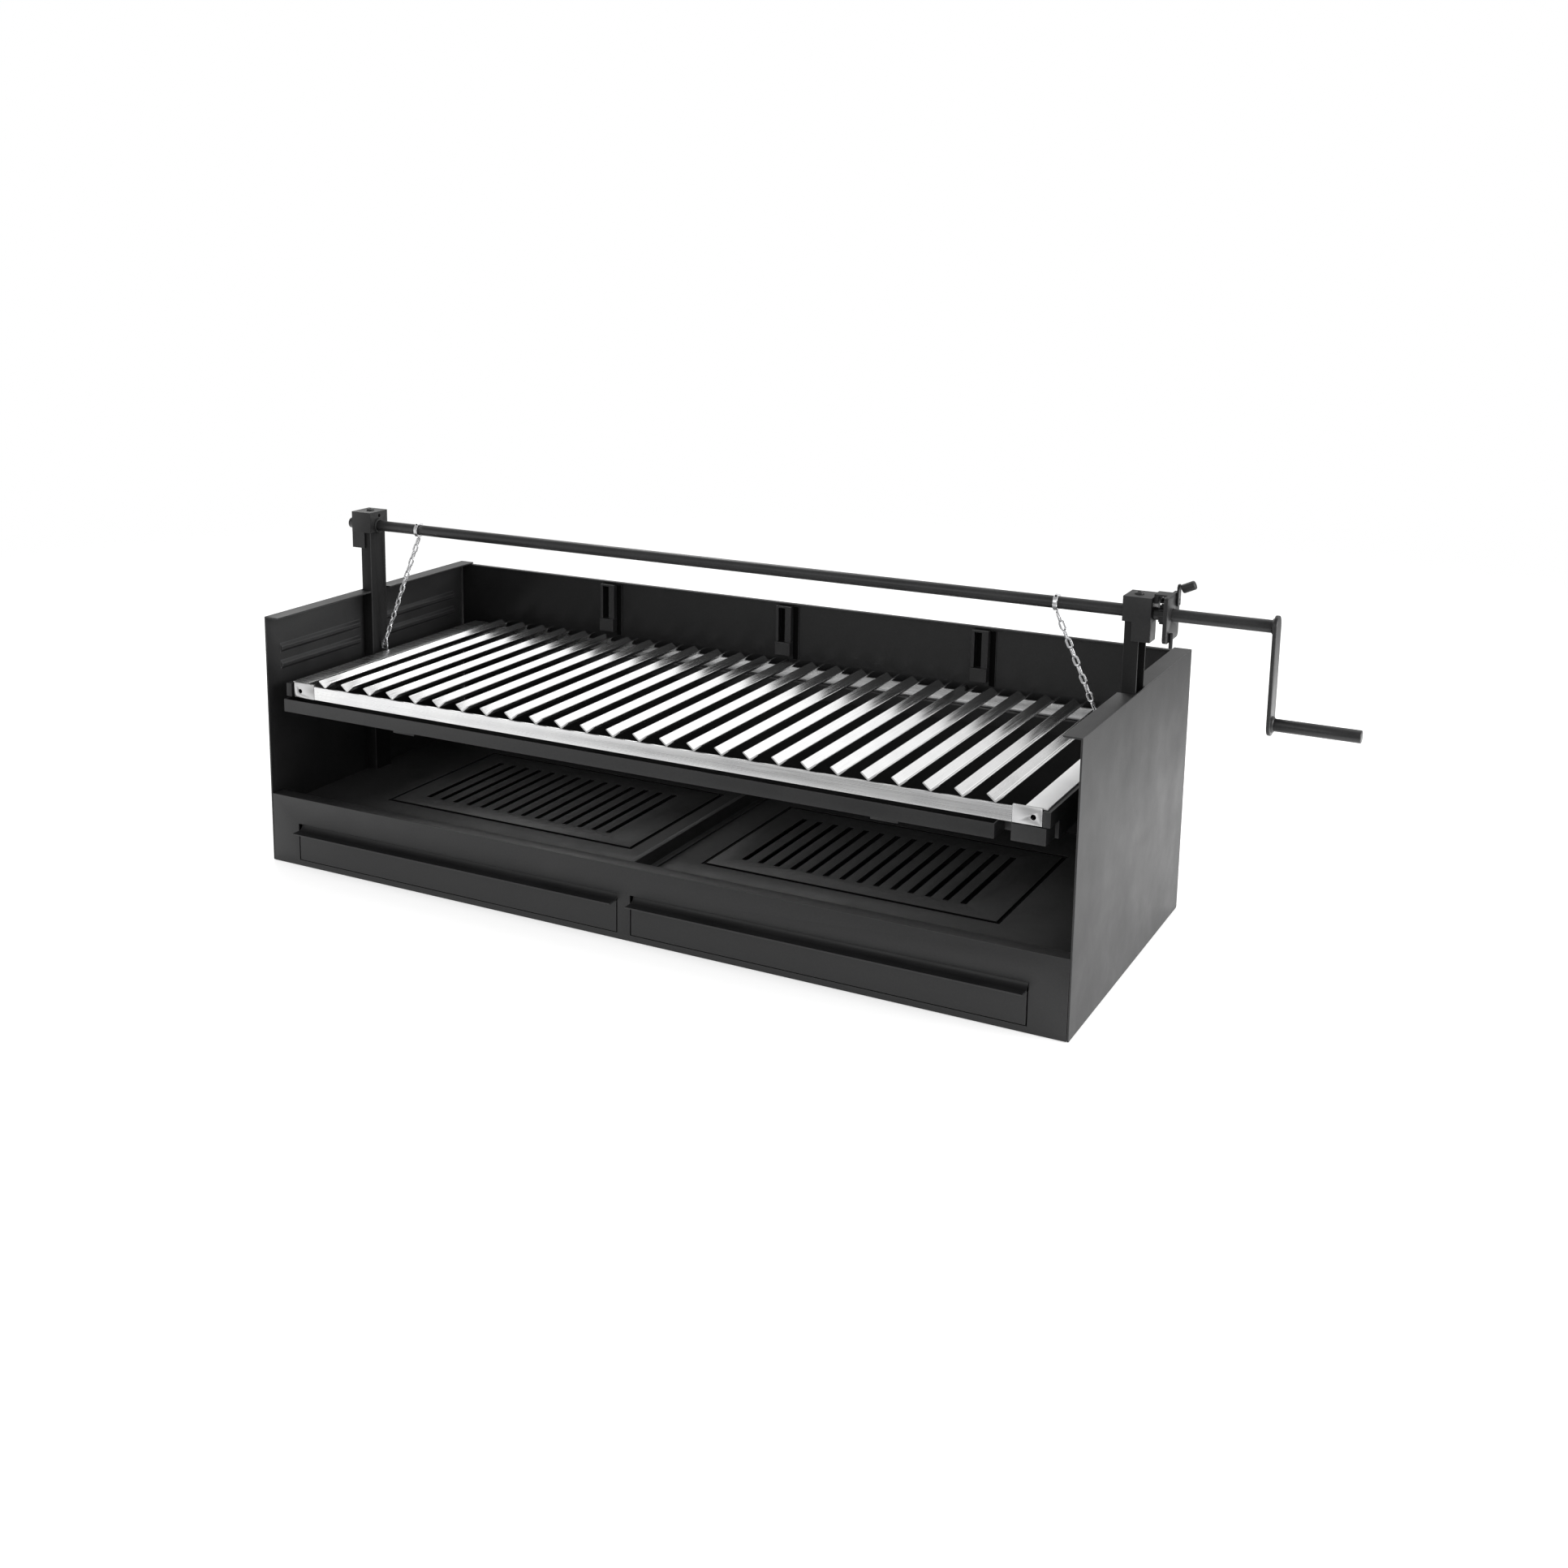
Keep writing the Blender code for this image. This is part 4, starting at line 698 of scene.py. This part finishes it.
# The grill bars: 26 strips of stainless sheet folded to an open V, so that fat runs forward along
# them to the tray. They are welded over two thin strips between the side rails.
def grow(name, tree, values):
    """Turn what a geometry tree makes into a plain object, with its inputs set by name."""
    seed = bpy.data.objects.new(f"{name}_seed", bpy.data.meshes.new(f"{name}_seed"))
    bpy.context.scene.collection.objects.link(seed)
    growth = seed.modifiers.new("growth", "NODES")
    growth.node_group = tree
    for item in tree.interface.items_tree:
        if item.item_type == "SOCKET" and item.in_out == "INPUT" and item.name in values:
            growth[item.identifier] = values[item.name]
    evaluated = seed.evaluated_get(bpy.context.evaluated_depsgraph_get())
    mesh = bpy.data.meshes.new_from_object(evaluated)
    mesh.name = name
    made = bpy.data.objects.new(name, mesh)
    bpy.context.scene.collection.objects.link(made)
    bpy.data.objects.remove(seed)
    return made


def geometry_tree(name, inputs):
    """Start a geometry node tree with named inputs."""
    tree = bpy.data.node_groups.new(name, "GeometryNodeTree")
    tree.interface.new_socket("Geometry", in_out="INPUT", socket_type="NodeSocketGeometry")
    for label, kind in inputs:
        tree.interface.new_socket(label, in_out="INPUT", socket_type=kind)
    tree.interface.new_socket("Geometry", in_out="OUTPUT", socket_type="NodeSocketGeometry")
    return tree, tree.nodes.new("NodeGroupInput").outputs, tree.nodes.new("NodeGroupOutput").inputs


def sum_up(tree, operation, *values):
    """Work out a sum of one or two values in a tree."""
    return add(tree, "ShaderNodeMath", dict(enumerate(values)), operation=operation).outputs[0]


bar_rack, rack_in, rack_out = geometry_tree("bar_rack", [
    ("Bars", "NodeSocketInt"), ("Pitch", "NodeSocketFloat"), ("Half Width", "NodeSocketFloat"),
    ("Depth", "NodeSocketFloat"), ("Wall Across", "NodeSocketFloat"), ("Wall Up", "NodeSocketFloat"),
    ("Length", "NodeSocketFloat"), ("Fold", "NodeSocketFloat"),
    ("Place", "NodeSocketVector"), ("Steel", "NodeSocketMaterial"),
])
section = add(bar_rack, "GeometryNodeMeshLine", {"Count": 6, "Offset": (0, 0, 0)})
corner = add(bar_rack, "GeometryNodeInputIndex").outputs[0]
inner_side = sum_up(bar_rack, "GREATER_THAN", corner, 2.5)
outer_step = sum_up(bar_rack, "SUBTRACT", corner, 1.0)
inner_step = sum_up(bar_rack, "SUBTRACT", 4.0, corner)
outer_across = sum_up(bar_rack, "MULTIPLY", outer_step, rack_in["Half Width"])
inner_half = sum_up(bar_rack, "SUBTRACT", rack_in["Half Width"], rack_in["Wall Across"])
inner_across = sum_up(bar_rack, "MULTIPLY", inner_step, inner_half)
outer_up = sum_up(bar_rack, "MULTIPLY", sum_up(bar_rack, "ABSOLUTE", outer_step), rack_in["Depth"])
inner_depth = sum_up(bar_rack, "SUBTRACT", rack_in["Depth"], rack_in["Wall Up"])
inner_rise = sum_up(bar_rack, "MULTIPLY", sum_up(bar_rack, "ABSOLUTE", inner_step), inner_depth)
inner_up = sum_up(bar_rack, "ADD", inner_rise, rack_in["Wall Up"])
across = add(bar_rack, "ShaderNodeMix", {0: inner_side, 2: outer_across, 3: inner_across}).outputs[0]
upward = add(bar_rack, "ShaderNodeMix", {0: inner_side, 2: outer_up, 3: inner_up}).outputs[0]
corner_place = add(bar_rack, "ShaderNodeCombineXYZ", {0: across, 1: upward})
section_points = add(bar_rack, "GeometryNodeSetPosition", {0: section.outputs[0],
                     "Position": corner_place.outputs[0]})
section_line = add(bar_rack, "GeometryNodeMeshToCurve", {0: section_points.outputs[0]})
section_loop = add(bar_rack, "GeometryNodeSetSplineCyclic", {0: section_line.outputs[0],
                   "Cyclic": True})
folds = add(bar_rack, "GeometryNodeFilletCurve", {"Curve": section_loop.outputs[0], "Count": 3,
            "Radius": rack_in["Fold"], "Limit Radius": True}, mode="POLY")
section_face = add(bar_rack, "GeometryNodeFillCurve", {0: folds.outputs[0]}, mode="NGONS")
pushed = add(bar_rack, "GeometryNodeExtrudeMesh", {"Mesh": section_face.outputs[0], "Offset": (0, 0, 1),
             "Offset Scale": rack_in["Length"], "Individual": False}, mode="FACES")
front_end = add(bar_rack, "GeometryNodeFlipFaces", {0: section_face.outputs[0]})
closed_bar = add(bar_rack, "GeometryNodeJoinGeometry")
for part in (front_end.outputs[0], pushed.outputs["Mesh"]):
    bar_rack.links.new(part, closed_bar.inputs[0])
whole_bar = add(bar_rack, "GeometryNodeMergeByDistance", {0: closed_bar.outputs[0],
                "Distance": 0.000005})
lying_bar = add(bar_rack, "GeometryNodeTransform", {"Geometry": whole_bar.outputs[0],
                "Rotation": (math.radians(90), 0, 0)})
whole_rack_points = add(bar_rack, "GeometryNodeMeshLine", {"Count": rack_in["Bars"]}, mode="OFFSET")
rack_step = add(bar_rack, "ShaderNodeCombineXYZ", {0: rack_in["Pitch"]})
bar_rack.links.new(rack_step.outputs[0], whole_rack_points.inputs["Offset"])
placed = add(bar_rack, "GeometryNodeSetPosition", {0: whole_rack_points.outputs[0],
             "Offset": rack_in["Place"]})
rack = add(bar_rack, "GeometryNodeInstanceOnPoints", {"Points": placed.outputs[0],
           "Instance": lying_bar.outputs[0]})
real_rack = add(bar_rack, "GeometryNodeRealizeInstances", {0: rack.outputs[0]})
rack_finish = add(bar_rack, "GeometryNodeSetMaterial", {0: real_rack.outputs[0],
                  "Material": rack_in["Steel"]})
bar_rack.links.new(rack_finish.outputs[0], rack_out[0])

bar_steel = brushed("bar_steel", (900, 16, 900), (0.88, 0.88, 0.88), (0.82, 0.82, 0.82), 0.14, 0.26,
                    0.00001)
bar_low, bar_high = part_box("grill_bars")
bar_count = 26
bar_pitch = 0.0332
bar_half = 0.01025
bar_depth = 0.0085
bar_sheet = 0.0015
bar_fold = 0.0016
bar_slope = math.hypot(bar_half, bar_depth)
bars = grow("folded_bars", bar_rack, {
    "Bars": bar_count, "Pitch": bar_pitch, "Half Width": bar_half, "Depth": bar_depth,
    "Wall Across": bar_sheet * bar_slope / bar_depth, "Wall Up": bar_sheet * bar_slope / bar_half,
    "Length": bar_high.y - bar_low.y, "Fold": bar_fold, "Steel": bar_steel,
    "Place": (-bar_pitch * (bar_count - 1) / 2, bar_high.y, bar_high.z - bar_depth),
})
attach(bars, "lift")
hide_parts("grill_bars")


# The chains: short-link zinc chain from the collars on the shaft down to flat rings that are welded on
# the lifting frame. A grub screw holds each collar on the shaft.
link_row, row_in, row_out = geometry_tree("link_row", [
    ("Links", "NodeSocketInt"), ("Start", "NodeSocketVector"), ("End", "NodeSocketVector"),
    ("Link Length", "NodeSocketFloat"), ("Link Width", "NodeSocketFloat"), ("Bend", "NodeSocketFloat"),
    ("Wire", "NodeSocketFloat"), ("Zinc", "NodeSocketMaterial"),
])
link_frame = add(link_row, "GeometryNodeCurvePrimitiveQuadrilateral", {"Width": row_in["Link Length"],
                 "Height": row_in["Link Width"]}, mode="RECTANGLE")
link_path = add(link_row, "GeometryNodeFilletCurve", {"Curve": link_frame.outputs[0], "Count": 7,
                "Radius": row_in["Bend"], "Limit Radius": True}, mode="POLY")
wire_section = add(link_row, "GeometryNodeCurvePrimitiveCircle", {"Resolution": 10,
                   "Radius": row_in["Wire"]})
link_mesh = add(link_row, "GeometryNodeCurveToMesh", {"Curve": link_path.outputs[0],
                "Profile Curve": wire_section.outputs[0]})
link_smooth = add(link_row, "GeometryNodeSetShadeSmooth", {0: link_mesh.outputs[0]})
link_points = add(link_row, "GeometryNodeMeshLine", {"Count": row_in["Links"],
                  "Start Location": row_in["Start"], "Offset": row_in["End"]}, mode="END_POINTS")
chain_run = add(link_row, "ShaderNodeVectorMath", {0: row_in["End"], 1: row_in["Start"]},
                operation="SUBTRACT")
along_chain = add(link_row, "FunctionNodeAlignRotationToVector", {"Vector": chain_run.outputs[0]},
                  axis="X", pivot_axis="Y")
odd_link = sum_up(link_row, "MODULO", add(link_row, "GeometryNodeInputIndex").outputs[0], 2.0)
quarter = add(link_row, "FunctionNodeAxisAngleToRotation", {"Axis": (1, 0, 0),
              "Angle": sum_up(link_row, "MULTIPLY", odd_link, math.pi / 2)})
link_turn = add(link_row, "FunctionNodeRotateRotation", {"Rotation": along_chain.outputs[0],
                "Rotate By": quarter.outputs[0]}, rotation_space="LOCAL")
hung_links = add(link_row, "GeometryNodeInstanceOnPoints", {"Points": link_points.outputs[0],
                 "Instance": link_smooth.outputs[0], "Rotation": link_turn.outputs[0]})
real_links = add(link_row, "GeometryNodeRealizeInstances", {0: hung_links.outputs[0]})
zinc_links = add(link_row, "GeometryNodeSetMaterial", {0: real_links.outputs[0],
                 "Material": row_in["Zinc"]})
link_row.links.new(zinc_links.outputs[0], row_out[0])

bright_zinc = brushed("bright_zinc", (300, 300, 300), (0.90, 0.90, 0.91), (0.78, 0.79, 0.81), 0.20, 0.38,
                      0.00002)
link_count = 16
link_wire = 0.0012
link_width = 0.0072
link_play = 0.0002
link_hole = link_width / 2 - 2 * link_wire
eye_bar = 0.0011
collar_gap = 0.0003
for side in ("left", "right"):
    ring_low, ring_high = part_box(f"collar_{side}")
    eye_low, eye_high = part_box(f"chain_eye_{side}")
    chain_top = (ring_low + ring_high) / 2
    chain_top.z = ring_low.z - collar_gap
    eye_middle = (eye_low + eye_high) / 2
    eye_middle.z = eye_high.z - eye_bar
    down = (eye_middle - chain_top).normalized()
    bar_reach = eye_bar * (abs(down.x) + abs(down.z)) + link_play
    seat = bar_reach - math.sqrt(link_hole ** 2 - eye_bar ** 2)
    chain_foot = eye_middle + down * (seat + link_width / 2)
    pitch = ((chain_foot - chain_top).length - 2 * link_wire) / link_count
    links = grow(f"links_{side}", link_row, {
        "Links": link_count, "Link Length": pitch - link_play, "Link Width": link_width - 2 * link_wire,
        "Start": chain_top + down * (link_wire + pitch / 2),
        "End": chain_foot - down * (link_wire + pitch / 2),
        "Bend": link_width / 2 - link_wire, "Wire": link_wire, "Zinc": bright_zinc,
    })
    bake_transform(links)
    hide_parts(f"chain_{side}")
collar_half = 0.0025
collar_bore = shaft_radius + 0.0002
collar_round = 0.0005
collar_face = collar_half - 0.0006
grub_way = Vector((0, -0.5, 0.866))
for side in ("left", "right"):
    folded(f"chain_eye_{side}", bright_zinc, bright_zinc, 0.0005)
    ring_low, ring_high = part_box(f"collar_{side}")
    rim = (ring_high.z - ring_low.z) / 2
    band = turned([(collar_bore, -collar_half), (rim - collar_round, -collar_half), (rim, -collar_face),
                   (rim, collar_face), (rim - collar_round, collar_half), (collar_bore, collar_half)], 48)
    ring_middle = Vector(((ring_low.x + ring_high.x) / 2, shaft_y, shaft_z))
    ring = finished(f"collar_{side}_ring", aimed(band, ring_middle, (1, 0, 0)), "winch",
                    (bright_zinc, bright_zinc))
    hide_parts(f"collar_{side}")
    # The grub screw shows as a near-black disc that paints the shade of its sunk hole.
    grub = turned([(0, 0), (0.0014, 0), (0.0012, 0.0003), (0, 0.0003)], 20)
    finished(f"collar_{side}_screw", aimed(grub, ring_middle + grub_way * rim, grub_way), "winch",
             (shade_black, shade_black))
